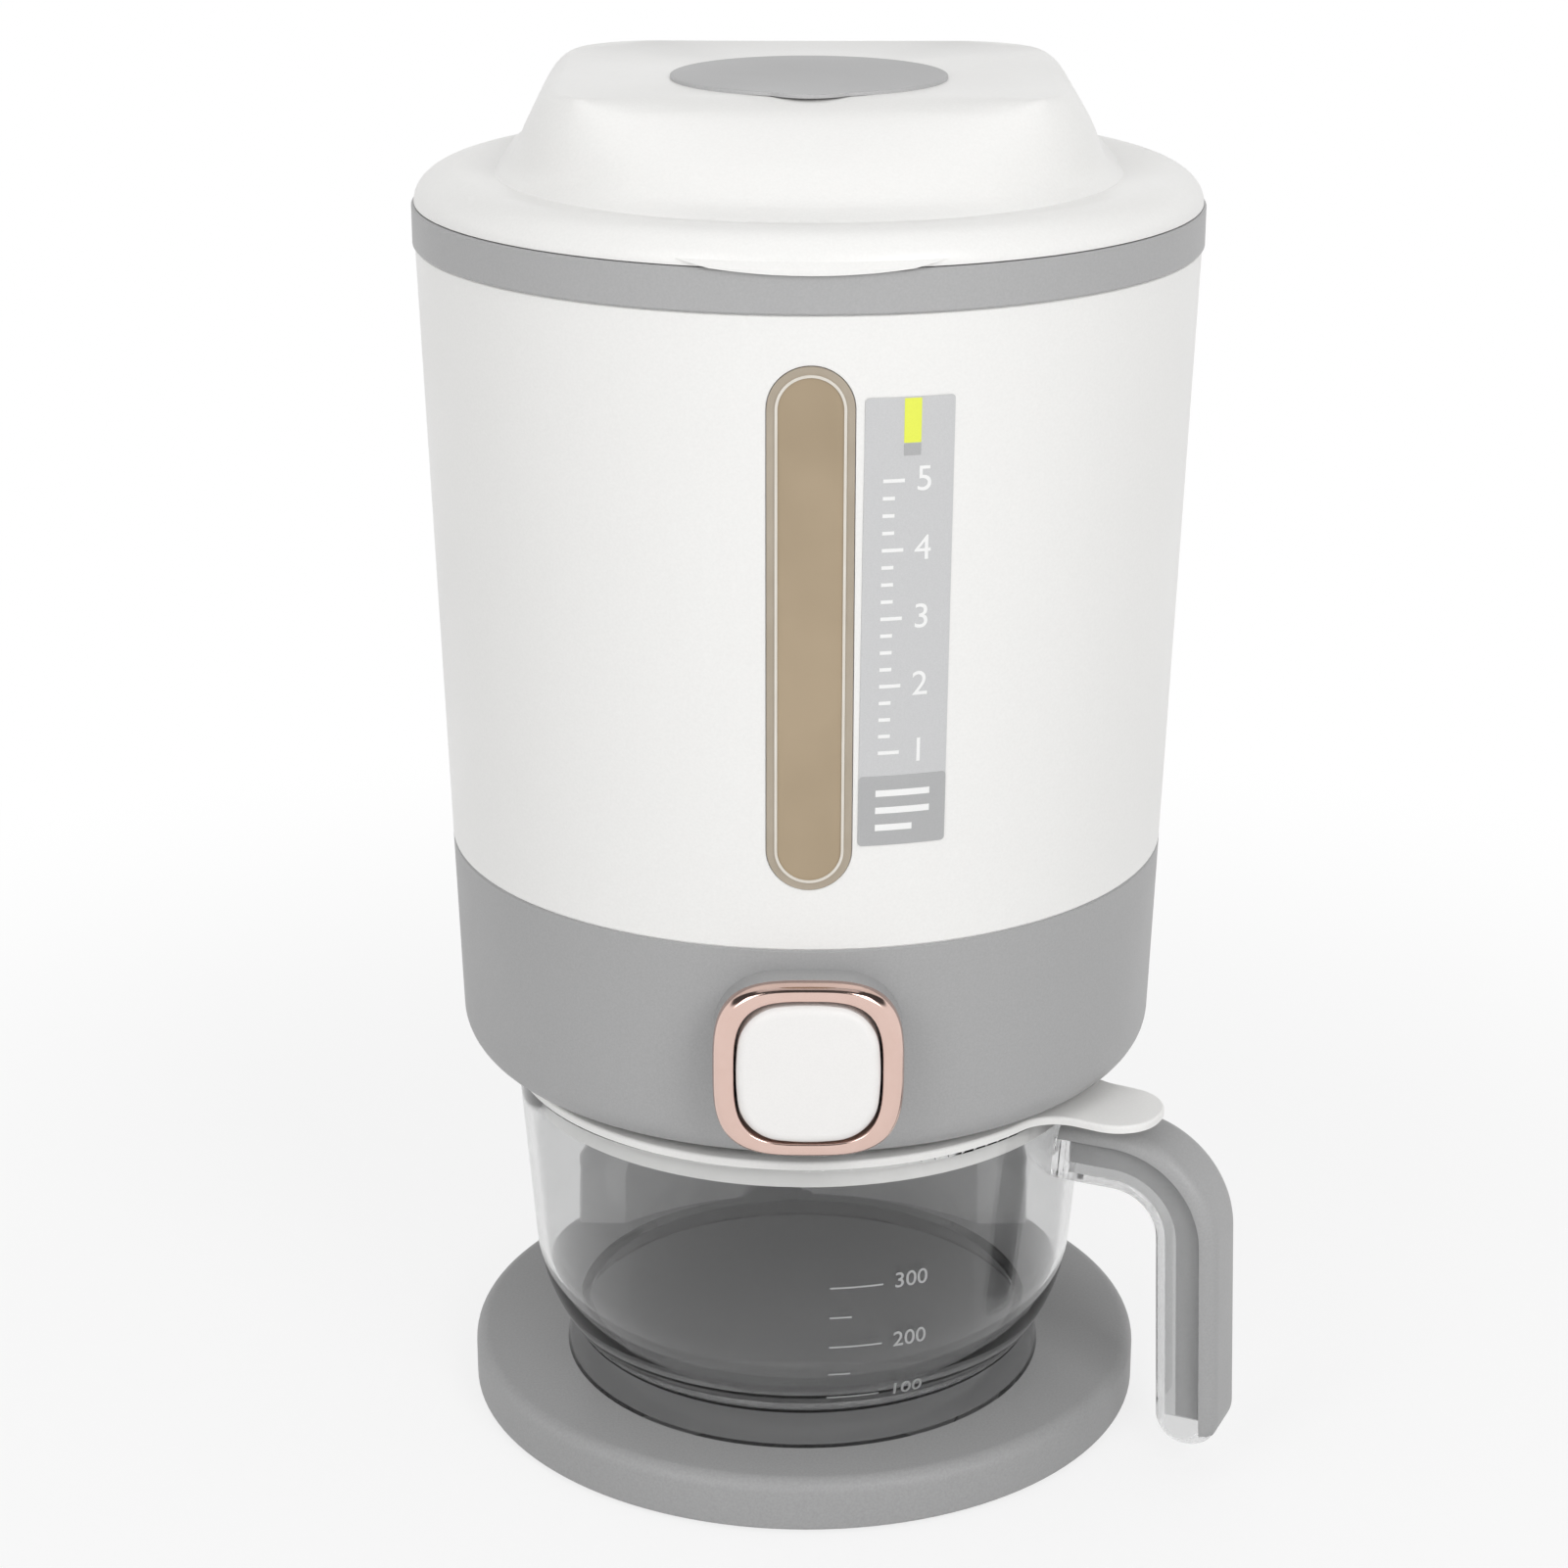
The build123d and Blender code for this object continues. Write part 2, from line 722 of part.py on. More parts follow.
def lid_shoulder(inset):
    """The turned part of the lid, from its edge over the crest to the crease."""
    edge = (lid_edge_radius - inset, 0, lid_bottom)
    crest = (lid_crest_radius, 0, lid_crest - inset)
    crease = (lid_crease_radius, 0, lid_crease - inset)
    roll = Plane.XZ * EllipticalCenterArc(
        (lid_crest_radius, lid_bottom),
        lid_edge_radius - inset - lid_crest_radius,
        lid_crest - inset - lid_bottom,
        start_angle=0,
        arc_size=quarter_turn,
    )
    outline = roll + Polyline(crest, crease, (0, 0, lid_crease - inset), (0, 0, lid_bottom), edge)
    return revolve(make_face(outline), Axis.Z)


def ring_point(radius, angle):
    """A point at an angle from the front, turning towards +X."""
    return radius * sin(radians(angle)), -radius * cos(radians(angle))


def closed_outline(ends, middles, front, back):
    """Ends and middles of eight edges, from the right half of an outline and its front and back points."""
    all_ends = ends + [(-x, y) for x, y in reversed(ends)]
    left = [(-x, y) for x, y in reversed(middles)]
    return all_ends, middles + [back] + left + [front]


def hump_foot(inset):
    """Outline where the hump meets the lid: round in front and behind, straight at the sides."""
    radius = lid_crease_radius - inset
    rear = hump_rear_radius - inset
    side = sqrt(rear ** 2 - radius ** 2)
    side_angle = quarter_turn + degrees(atan2(side, radius))
    ends = [
        ring_point(radius, hump_front_angle),
        (radius, 0),
        (radius, side),
        ring_point(rear, hump_rear_angle),
    ]
    middles = [
        ring_point(radius, (hump_front_angle + quarter_turn) / 2),
        (radius, side / 2),
        ring_point(rear, (side_angle + hump_rear_angle) / 2),
    ]
    return closed_outline(ends, middles, (0, -radius), (0, rear))


def hump_roof(inset):
    """Outline of the flat top: a rectangle with round corners."""
    half = hump_half_width - inset
    front = -hump_front + inset
    back = hump_back - inset
    corner = hump_corner - inset
    cut = corner * (1 - cos(pi / 4))
    ends = [(half - corner, front), (half, front + corner), (half, back - corner), (half - corner, back)]
    middles = [(half - cut, front + cut), (half, (front + back) / 2), (half - cut, back - cut)]
    return closed_outline(ends, middles, (0, front), (0, back))


def mix(start, end, blend, z):
    """A point at height z between two plan points."""
    return Vector(start[0] + blend * (end[0] - start[0]), start[1] + blend * (end[1] - start[1]), z)


def hump_section(blend, z, inset):
    """A face between the foot outline (blend 0) and the roof outline (blend 1)."""
    foot_ends, foot_middles = hump_foot(inset)
    roof_ends, roof_middles = hump_roof(inset)
    ends = [mix(a, b, blend, z) for a, b in zip(foot_ends, roof_ends)]
    middles = [mix(a, b, blend, z) for a, b in zip(foot_middles, roof_middles)]
    edges = []
    for start, middle, end in zip(ends, middles, ends[1:] + ends[:1]):
        chord = end - start
        bow = chord.cross(middle - start).length / chord.length
        edges.append(Line(start, end) if bow < straight_limit else ThreePointArc(start, middle, end))
    return make_face(Wire(edges))


def lid_hump(inset):
    """The raised middle of the lid: a round foot lofted along a soft S profile to a squarer flat top."""
    foot = lid_crease - inset
    return loft([hump_section(run, foot + rise * hump_height, inset) for run, rise in hump_profile])


def lid_form(inset):
    return lid_shoulder(inset) + lid_hump(inset)


def lid_lip():
    """A shallow finger lip at the front edge, whose lower side is an arc that runs out at both ends."""
    inner = band_radius + running_gap
    low = lid_bottom - lid_lip_drop
    ring = turn([
        (inner, low),
        (inner + lid_lip_thickness, low),
        (inner + lid_lip_thickness, lid_bottom),
        (lid_edge_radius - wall / 2, lid_bottom + lid_lip_rise),
        (lid_edge_radius - wall, lid_bottom + lid_lip_rise),
        (lid_edge_radius - wall, lid_bottom),
        (inner, lid_bottom),
    ])
    end = (lid_lip_half_width, lid_bottom + lid_lip_rise)
    curve = ThreePointArc((-end[0], end[1]), (0, low), end)
    plan = make_face(Wire([curve, Line(end, (-end[0], end[1]))]))
    return ring & Plane((0, 0, 0), x_dir=(1, 0, 0), z_dir=(0, -1, 0)) * extrude(plan, 2 * band_radius)


def lid():
    """White lid shell with a raised middle, a front lip and a hinge knuckle."""
    plug_inner = lid_plug_radius - wall
    hollow = lid_form(wall) - disc(band_radius, lid_bottom - cut_over, lid_bottom + wall)
    body = lid_form(0) - hollow
    body -= disc(plug_inner, lid_bottom - cut_over, lid_bottom + wall)
    body += lid_lip()
    knuckle = rod_x(knuckle_radius, -knuckle_half_width, knuckle_half_width, hinge_y, hinge_z)
    web = block(-knuckle_half_width, knuckle_half_width, lid_crest_radius, hinge_y,
                lid_bottom, hinge_z + knuckle_radius)
    body += knuckle + (web - disc(lid_edge_radius - wall, lid_bottom - cut_over, lid_crest))
    body -= rod_x(hinge_pin_radius + screw_gap, -knuckle_half_width, knuckle_half_width, hinge_y, hinge_z)
    body -= disc(absorber_radius + slip_gap, lid_crest, hump_top)
    body -= disc(absorber_flange_radius + slip_gap, hump_top - absorber_flange, hump_top)
    return body


def lid_ring():
    """Ring under the lid that plugs the rim band, with a groove for the gasket."""
    ring = tube(lid_plug_radius, lid_plug_radius - wall, lid_bottom - lid_plug_depth, lid_bottom)
    low = gasket_middle - gasket_height / 2
    return ring - tube(lid_plug_radius + cut_over, lid_plug_radius - gasket_depth, low, low + gasket_height)


def lid_gasket():
    inner = lid_plug_radius - gasket_depth + screw_gap
    half = gasket_height / 2 - screw_gap
    return tube(lid_plug_radius + running_gap, inner, gasket_middle - half, gasket_middle + half)


def absorber_cup():
    """Slotted cup that hangs in the lid and holds a moisture absorber."""
    low = hump_top - absorber_depth
    body = disc(absorber_radius, low, hump_top)
    body += disc(absorber_flange_radius, hump_top - absorber_flange, hump_top)
    body -= disc(absorber_radius - absorber_wall, low + absorber_wall, hump_top)
    slot = Box(absorber_radius, absorber_slot_width, absorber_depth / 2)
    for i in range(absorber_slots):
        angle = 360 / absorber_slots * i
        body -= Rot(Z=angle) * Pos(absorber_radius, 0, low + absorber_depth / 2) * slot
    return body


def absorber_cap():
    """Round cap with a pull tab over the absorber cup."""
    plan = Circle(cap_radius)
    tab_y = -(cap_radius + cap_tab_length) / 2
    tab = RectangleRounded(cap_tab_width, cap_radius + cap_tab_length, cap_tab_length / 2)
    plan += Pos(0, tab_y) * tab
    body = Pos(0, 0, hump_top) * extrude(plan, cap_thickness)
    body = fillet(body.edges().group_by(Axis.Z)[-1], cap_edge_fillet)
    inner = absorber_radius - absorber_wall - slip_gap
    return body + tube(inner, inner - absorber_wall, hump_top - cap_plug_depth, hump_top)


def cup_spot(shape):
    return Pos(cup_x, cup_y, 0) * shape


def cup_flank(z):
    """Outer radius of the cup's straight side at a height."""
    slope = (cup_rim_radius - cup_shoulder_radius) / (cup_rim - cup_shoulder)
    return cup_shoulder_radius + slope * (z - cup_shoulder)


def cup_outer():
    """The outer form of the cup bowl, above its foot."""
    flank = (cup_rim_radius, 0, cup_rim)
    shoulder = (cup_shoulder_radius, 0, cup_shoulder)
    foot = (cup_foot_top_radius, 0, cup_foot_top)
    side = (cup_rim_radius - cup_shoulder_radius, 0, cup_rim - cup_shoulder)
    bowl = TangentArc(shoulder, foot, tangent=(-side[0], 0, -side[2]))
    outline = Polyline(foot, (0, 0, cup_foot_top), (0, 0, cup_rim), flank, shoulder) + bowl
    return revolve(make_face(outline), Axis.Z)


def cup_inner():
    rim = (cup_rim_radius - cup_wall, 0, cup_rim)
    shoulder = (cup_shoulder_radius - cup_wall, 0, cup_shoulder)
    floor = (cup_foot_top_radius - 2 * cup_wall, 0, cup_inner_floor)
    side = (cup_rim_radius - cup_shoulder_radius, 0, cup_rim - cup_shoulder)
    bowl = TangentArc(shoulder, floor, tangent=(-side[0], 0, -side[2]))
    outline = Polyline(floor, (0, 0, cup_inner_floor), (0, 0, cup_rim), rim, shoulder) + bowl
    return revolve(make_face(outline), Axis.Z)


def cup():
    """Clear measuring cup on a foot ring."""
    foot = turn([
        (cup_foot_radius, base_height),
        (cup_foot_top_radius, cup_foot_top),
        (0, cup_foot_top),
        (0, cup_floor),
        (cup_foot_top_radius - cup_wall, cup_floor),
        (cup_foot_radius - cup_wall, base_height),
    ])
    bowl = cup_outer() + foot - cup_inner()
    return cup_spot(fillet(bowl.edges().group_by(Axis.Z)[-1], cup_rim_fillet))


def bend_arc(radius):
    """The bend of the handle at a radius about its centre, from the top to the leaning side."""
    centre = (handle_reach - handle_bend, 0, handle_top - handle_bend)
    end = radians(quarter_turn - handle_lean)
    return [(centre[0] + radius * sin(a), 0, centre[2] + radius * cos(a)) for a in (0, end / 2, end)]


def leg_end(bend):
    """The lower end of the handle's leg, straight on from the end of its bend."""
    return (bend[2][0] + (bend[2][2] - handle_tip) * tan(radians(handle_lean)), 0, handle_tip)


def handle_band(near, far):
    """Part of the handle outline between two depths below its outer edge."""
    outer = bend_arc(handle_bend - near)
    inner = bend_arc(handle_bend - far)
    outer_root = (handle_root_radius, 0, outer[0][2])
    inner_root = (handle_root_radius, 0, inner[0][2])
    outline = [
        Line(outer_root, outer[0]),
        ThreePointArc(*outer),
        Line(outer[2], leg_end(outer)),
        Line(leg_end(outer), leg_end(inner)),
        Line(leg_end(inner), inner[2]),
        ThreePointArc(inner[2], inner[1], inner[0]),
        Line(inner[0], inner_root),
        Line(inner_root, outer_root),
    ]
    return make_face(Wire(outline))


def handle_slab(near, far, width):
    return extrude(handle_band(near, far), width / 2, dir=(0, 1, 0), both=True)


def handle_place(shape):
    """Turn a handle piece to its side of the cup."""
    return cup_spot(Rot(Z=handle_angle) * shape)


def handle_whole():
    """The full handle, with a round lower end and soft edges, before it is split into two pieces."""
    bar = handle_slab(0, handle_depth, handle_width)
    bar = fillet(bar.edges().group_by(Axis.Z)[0].filter_by(Axis.Y), handle_tip_fillet)
    root = handle_root_radius + straight_limit
    sides = bar.faces().filter_by(Axis.Y).edges().filter_by(lambda edge: edge.center().X > root)
    return fillet(sides, handle_edge_fillet)


def handle_room(start, low):
    """All the handle beyond a radius and above a height."""
    return block(start, 2 * handle_reach, -handle_width, handle_width, low, handle_top)


def insert_zone(gap):
    """The outer layer of the handle, which ends above the clear tip."""
    layer = handle_slab(0, insert_depth, handle_width)
    return layer & handle_room(handle_root_radius, handle_tip + insert_end + gap)


def tongue_zone(gap):
    """The part of the insert that fills the clear channel, less a gap all round."""
    width = handle_width - 2 * handle_channel_wall - 2 * gap
    fill = handle_slab(insert_depth, handle_depth - handle_floor - gap, width)
    start = cup_rim_radius + handle_channel_wall + gap
    return fill & handle_room(start, handle_tip + handle_tip_fillet + gap)


def cup_handle():
    """Clear handle: a channel that opens outward for the grip insert, with a closed tip."""
    return handle_place(handle_whole() - insert_zone(0) - tongue_zone(0) - cup_outer())


def handle_insert():
    """Grey grip insert, with a tongue that fills the clear channel."""
    outer = handle_whole() & insert_zone(slip_gap)
    rim = disc(cup_rim_radius + slip_gap, base_height, handle_top + cut_over)
    return handle_place(outer + tongue_zone(slip_gap) - rim)


def cup_lid_plan():
    """The lid seen from above, with the thumb tab blended into its edge."""
    tab = RectangleRounded(cup_tab_reach, 2 * cup_tab_half_width, cup_tab_corner)
    plan = Circle(cup_lid_radius) + Pos(cup_tab_reach / 2, 0) * tab
    plan = fillet(plan.vertices().group_by(Axis.X)[0], cup_tab_blend)
    return Rot(Z=cup_tab_angle) * plan - Circle(cup_lid_mouth)


def cup_lid():
    """White cup lid: a flange on the rim, a plug inside it, a filling mouth and a thumb tab."""
    plug = cup_flank(cup_lid_bottom - cup_lid_plug) - cup_wall - running_gap
    body = Pos(0, 0, cup_lid_bottom) * extrude(cup_lid_plan(), cup_lid_thickness)
    body += tube(plug, plug - cup_wall, cup_lid_bottom - cup_lid_plug, cup_lid_bottom)
    body = fillet(body.edges().group_by(Axis.Z)[-1], cup_lid_edge_fillet)
    return cup_spot(body)


def main():
    pieces = {
        "base": base(),
        "base_plate": base_plate(),
        "base_pad": base_pad(),
        "base_screws": base_screws(),
        "column": column(),
        "column_cover": column_cover(),
        "column_screws": column_screws(),
        "lower_housing": lower_housing(),
        "funnel_seat": funnel_seat(),
        "funnel": funnel(),
        "gate_frame": gate_frame(),
        "frame_screws": frame_screws(),
        "gate_slide": gate_slide(),
        "button_collar": button_collar(),
        "button_bezel": button_bezel(),
        "button": button(),
        "button_stem": button_stem(),
        "stem_screw": stem_screw(),
        "return_spring": return_spring(),
        "hopper": hopper(),
        "sight_window": sight_window(),
        "rim_band": rim_band(),
        "hinge_pin": hinge_pin(),
        "lid": lid(),
        "lid_ring": lid_ring(),
        "lid_gasket": lid_gasket(),
        "absorber_cup": absorber_cup(),
        "absorber_cap": absorber_cap(),
        "cup": cup(),
        "cup_handle": cup_handle(),
        "handle_insert": handle_insert(),
        "cup_lid": cup_lid(),
    }
    os.makedirs("parts", exist_ok=True)
    for name, piece in pieces.items():
        solid = Compound(children=piece) if isinstance(piece, list) else piece
        export_step(solid, f"parts/{name}.step")


main()
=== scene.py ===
import json
import math

import bmesh
import bpy
from mathutils import Matrix, Vector
from mathutils.bvhtree import BVHTree

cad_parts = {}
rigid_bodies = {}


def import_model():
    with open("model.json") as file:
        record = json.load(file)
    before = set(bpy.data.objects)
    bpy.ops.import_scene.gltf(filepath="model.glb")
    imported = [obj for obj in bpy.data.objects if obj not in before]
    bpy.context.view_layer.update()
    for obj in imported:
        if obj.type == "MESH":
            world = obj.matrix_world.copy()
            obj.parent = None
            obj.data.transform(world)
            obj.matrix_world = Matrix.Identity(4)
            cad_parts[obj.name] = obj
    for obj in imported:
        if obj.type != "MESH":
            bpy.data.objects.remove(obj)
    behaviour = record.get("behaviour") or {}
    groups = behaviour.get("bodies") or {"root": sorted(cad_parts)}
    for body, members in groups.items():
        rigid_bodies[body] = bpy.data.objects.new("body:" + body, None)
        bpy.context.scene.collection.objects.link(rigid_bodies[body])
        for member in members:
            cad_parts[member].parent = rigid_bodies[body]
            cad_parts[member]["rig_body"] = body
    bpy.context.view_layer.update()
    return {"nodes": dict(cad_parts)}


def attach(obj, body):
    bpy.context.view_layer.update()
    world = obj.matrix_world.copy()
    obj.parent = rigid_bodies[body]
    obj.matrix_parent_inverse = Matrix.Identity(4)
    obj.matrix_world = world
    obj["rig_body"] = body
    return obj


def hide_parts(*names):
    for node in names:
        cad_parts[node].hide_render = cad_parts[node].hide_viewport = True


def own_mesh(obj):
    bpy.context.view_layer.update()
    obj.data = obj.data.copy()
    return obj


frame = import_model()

scene = bpy.context.scene
mm = 0.001


# camera, matched to the round edges of the photograph

cameraSet = {
    "place": (-6.74, -912.61, 501.84),  # mm
    "pitchDown": 19.29,  # degrees
    "roll": -0.086,
    "focalPixels": 3509.0,
    "imagePixels": 1601.0,
    "sensor": 36.0,
    "clip": (0.05, 40.0),  # metres
}


def addCamera():
    cam = bpy.data.cameras.new("viewCamera")
    cam.sensor_width = cameraSet["sensor"]
    cam.lens = cameraSet["focalPixels"] / cameraSet["imagePixels"] * cameraSet["sensor"]
    cam.clip_start, cam.clip_end = cameraSet["clip"]
    cam.dof.use_dof = False
    obj = bpy.data.objects.new("viewCamera", cam)
    obj.location = Vector(cameraSet["place"]) * mm
    tilt = math.radians(90.0 - cameraSet["pitchDown"])
    obj.rotation_euler = (tilt, math.radians(cameraSet["roll"]), 0.0)
    scene.collection.objects.link(obj)
    scene.camera = obj


# light, backdrop and floor

lightSet = {
    "worldLight": 0.60,
    "ceiling": {"from": 0.37, "to": 0.52, "level": 0.07},  # dark, and only mirrored
    "lamps": {
        "keySoftbox": {"place": (0.75, -1.30, 1.05), "aim": (0.0, 0.0, 0.2),
                       "size": (0.6, 0.9), "watts": 9.0},
        "fillSoftbox": {"place": (-0.80, -1.25, 1.00), "aim": (0.0, 0.0, 0.2),
                        "size": (0.6, 0.9), "watts": 5.8},
        "topSoftbox": {"place": (0.0, 0.1, 1.5), "aim": (0.0, 0.0, 0.3),
                       "size": (1.1, 1.1), "watts": 2.0},
    },
    "floorSize": 16.0,
    "floorColour": (0.80, 0.80, 0.80),
    "shadowShare": 0.22,  # how much of the lit floor the camera sees near the object
    "shadowReach": (0.22, 0.60),  # metres from the middle, where that share fades out
}


def addLights():
    for name, spec in lightSet["lamps"].items():
        lamp = bpy.data.lights.new(name, "AREA")
        lamp.shape = "RECTANGLE"
        lamp.size, lamp.size_y = spec["size"]
        lamp.energy = spec["watts"]
        obj = bpy.data.objects.new(name, lamp)
        obj.location = spec["place"]
        way = Vector(spec["aim"]) - Vector(spec["place"])
        obj.rotation_euler = way.to_track_quat("-Z", "Y").to_euler()
        obj.visible_camera = False
        scene.collection.objects.link(obj)


def largest(tree, *sources):
    top = sources[0]
    for source in sources[1:]:
        node = tree.nodes.new("ShaderNodeMath")
        node.operation = "MAXIMUM"
        tree.links.new(top, node.inputs[0])
        tree.links.new(source, node.inputs[1])
        top = node.outputs[0]
    return top


def choose(tree, source, low, high):
    # low where the source is 0, high where it is 1; each is a number or a socket
    span = tree.nodes.new("ShaderNodeMapRange")
    tree.links.new(source, span.inputs["Value"])
    for name, value in (("To Min", low), ("To Max", high)):
        if isinstance(value, float):
            span.inputs[name].default_value = value
        else:
            tree.links.new(value, span.inputs[name])
    return span.outputs["Result"]


def addWorld():
    world = bpy.data.worlds.new("studioWorld")
    world.use_nodes = True
    scene.world = world
    tree = world.node_tree
    back = tree.nodes["Background"]
    back.inputs["Color"].default_value = (1.0, 1.0, 1.0, 1.0)
    path = tree.nodes.new("ShaderNodeLightPath")
    coord = tree.nodes.new("ShaderNodeTexCoord")
    axes = tree.nodes.new("ShaderNodeSeparateXYZ")
    ceiling = tree.nodes.new("ShaderNodeMapRange")
    ceiling.interpolation_type = "SMOOTHSTEP"
    ceiling.inputs["From Min"].default_value = lightSet["ceiling"]["from"]
    ceiling.inputs["From Max"].default_value = lightSet["ceiling"]["to"]
    ceiling.inputs["To Min"].default_value = 1.0
    ceiling.inputs["To Max"].default_value = lightSet["ceiling"]["level"]
    tree.links.new(coord.outputs["Generated"], axes.inputs[0])
    tree.links.new(axes.outputs["Z"], ceiling.inputs["Value"])
    glossy = path.outputs["Is Glossy Ray"]
    mirrored = choose(tree, glossy, lightSet["worldLight"], ceiling.outputs["Result"])
    straight = largest(tree, path.outputs["Is Camera Ray"], path.outputs["Is Transmission Ray"])
    tree.links.new(choose(tree, straight, mirrored, 1.0), back.inputs["Strength"])


def addFloor():
    half = lightSet["floorSize"] / 2
    mesh = bpy.data.meshes.new("studioFloor")
    corners = [(-half, -half, 0), (half, -half, 0), (half, half, 0), (-half, half, 0)]
    mesh.from_pydata(corners, [], [(0, 1, 2, 3)])
    floor = bpy.data.objects.new("studioFloor", mesh)
    scene.collection.objects.link(floor)
    mat = bpy.data.materials.new("paleFloor")
    mat.use_nodes = True
    tree = mat.node_tree
    tree.nodes.clear()
    out = tree.nodes.new("ShaderNodeOutputMaterial")
    lit = tree.nodes.new("ShaderNodeBsdfDiffuse")
    lit.inputs["Color"].default_value = (*lightSet["floorColour"], 1.0)
    glow = tree.nodes.new("ShaderNodeEmission")
    mix = tree.nodes.new("ShaderNodeMixShader")
    coord = tree.nodes.new("ShaderNodeTexCoord")
    reach = tree.nodes.new("ShaderNodeVectorMath")
    reach.operation = "LENGTH"
    fade = tree.nodes.new("ShaderNodeMapRange")
    fade.interpolation_type = "SMOOTHSTEP"
    fade.inputs["From Min"].default_value, fade.inputs["From Max"].default_value = lightSet["shadowReach"]
    fade.inputs["To Min"].default_value = 1.0 - lightSet["shadowShare"]
    fade.inputs["To Max"].default_value = 1.0
    path = tree.nodes.new("ShaderNodeLightPath")
    rays = ("Is Camera Ray", "Is Transmission Ray", "Is Glossy Ray")
    seen = largest(tree, *(path.outputs[name] for name in rays))
    tree.links.new(coord.outputs["Object"], reach.inputs[0])
    tree.links.new(reach.outputs["Value"], fade.inputs["Value"])
    tree.links.new(choose(tree, seen, 0.0, fade.outputs["Result"]), mix.inputs["Fac"])
    tree.links.new(lit.outputs[0], mix.inputs[1])
    tree.links.new(glow.outputs[0], mix.inputs[2])
    tree.links.new(mix.outputs[0], out.inputs["Surface"])
    mesh.materials.append(mat)


addCamera()
addLights()
addWorld()
addFloor()
scene.view_settings.view_transform = "Standard"
print("camera, light and floor ready")


# finishes

finishes = {
    "whitePlastic": {"colour": (0.855, 0.850, 0.835), "shade": 0.965, "rough": (0.30, 0.40),
                     "grain": 1400.0, "lift": 0.05},
    "whiteSatin": {"colour": (0.850, 0.838, 0.825), "shade": 0.970, "rough": (0.34, 0.44),
                   "grain": 2200.0, "lift": 0.04},
    "greyPlastic": {"colour": (0.400, 0.400, 0.402), "shade": 0.900, "rough": (0.38, 0.50),
                    "grain": 1900.0, "lift": 0.10},
    "bandGrey": {"colour": (0.420, 0.420, 0.422), "shade": 0.920, "rough": (0.40, 0.50),
                 "grain": 1700.0, "lift": 0.08},
    "capGrey": {"colour": (0.475, 0.475, 0.477), "shade": 0.920, "rough": (0.40, 0.50),
                "grain": 1700.0, "lift": 0.08},
    "baseGrey": {"colour": (0.375, 0.375, 0.377), "shade": 0.880, "rough": (0.44, 0.56),
                 "grain": 1500.0, "lift": 0.12},
    "gripGrey": {"colour": (0.388, 0.388, 0.390), "shade": 0.900, "rough": (0.36, 0.46),
                 "grain": 1800.0, "lift": 0.08},
    "innerWhite": {"colour": (0.780, 0.775, 0.760), "shade": 0.950, "rough": (0.40, 0.52),
                   "grain": 1100.0, "lift": 0.05},
    # painted light: the column is much lighter than the base grey it matches, standing in for light in the
    # shaded niche behind the cup
    "columnGreyPaintedLight": {"colour": (0.650, 0.650, 0.652), "shade": 0.880, "rough": (0.42, 0.54),
                   "grain": 1500.0, "lift": 0.12},
    "innerGrey": {"colour": (0.330, 0.330, 0.335), "shade": 0.900, "rough": (0.42, 0.54),
                  "grain": 1100.0, "lift": 0.06},
    "padRubber": {"colour": (0.085, 0.085, 0.088), "shade": 0.750, "rough": (0.70, 0.85),
                  "grain": 900.0, "lift": 0.30},
    "sealRubber": {"colour": (0.620, 0.620, 0.615), "shade": 0.900, "rough": (0.55, 0.68),
                   "grain": 900.0, "lift": 0.12},
    "labelFilm": {"colour": (0.600, 0.602, 0.608), "shade": 0.930, "rough": (0.26, 0.40),
                  "grain": 2600.0, "lift": 0.03, "metal": 0.25},
    "tagYellow": {"colour": (0.800, 0.860, 0.095), "shade": 0.960, "rough": (0.32, 0.42),
                  "grain": 2600.0, "lift": 0.02},
    "tagGrey": {"colour": (0.430, 0.432, 0.436), "shade": 0.940, "rough": (0.32, 0.42),
                "grain": 2600.0, "lift": 0.02},
    "printWhite": {"colour": (0.870, 0.870, 0.865), "shade": 0.970, "rough": (0.34, 0.44),
                   "grain": 2600.0, "lift": 0.02},
    "frostMark": {"colour": (0.400, 0.404, 0.406), "shade": 0.930, "rough": (0.30, 0.42),
                  "grain": 3000.0, "lift": 0.10},
}
metals = {
    "roseMetal": {"colour": (0.760, 0.560, 0.495), "dull": (0.735, 0.535, 0.470),
                  "rough": (0.09, 0.15), "brush": 260.0},
    "springSteel": {"colour": (0.560, 0.565, 0.575), "dull": (0.460, 0.465, 0.475),
                    "rough": (0.25, 0.40), "brush": 900.0},
}
clearSet = {
    "cup": {"colour": (0.800, 0.802, 0.803), "rough": (0.015, 0.040), "wave": 55.0,
            "lift": 0.06, "ior": 1.46},
    # the foot is darker than the cup: partly for its thicker plastic, partly painted shade
    "foot": {"colour": (0.560, 0.562, 0.563), "rough": (0.060, 0.100), "wave": 55.0,
             "lift": 0.06, "ior": 1.30},
    "handle": {"colour": (0.720, 0.722, 0.723), "rough": (0.060, 0.110), "wave": 70.0,
               "lift": 0.05, "ior": 1.10, "coat": 0.6},
}
windowSet = {
    "pane": {"colour": (0.455, 0.355, 0.235), "shade": (0.400, 0.310, 0.200),
             "rough": (0.10, 0.17), "wave": 35.0, "see": 0.12},
    "border": {"colour": (0.520, 0.450, 0.360), "shade": (0.470, 0.400, 0.310),
               "rough": (0.08, 0.14), "wave": 60.0, "see": 0.20},
    # painted highlight: the pale band where the window's step edge catches the light
    "bead": {"colour": (0.800, 0.760, 0.690), "shade": (0.740, 0.690, 0.610),
             "rough": (0.06, 0.10), "wave": 90.0, "see": 0.10},
    "halfWidth": 10.75,  # mm
    "ends": (189.0, 324.6),
    "highlightInset": (1.95, 2.75),
}
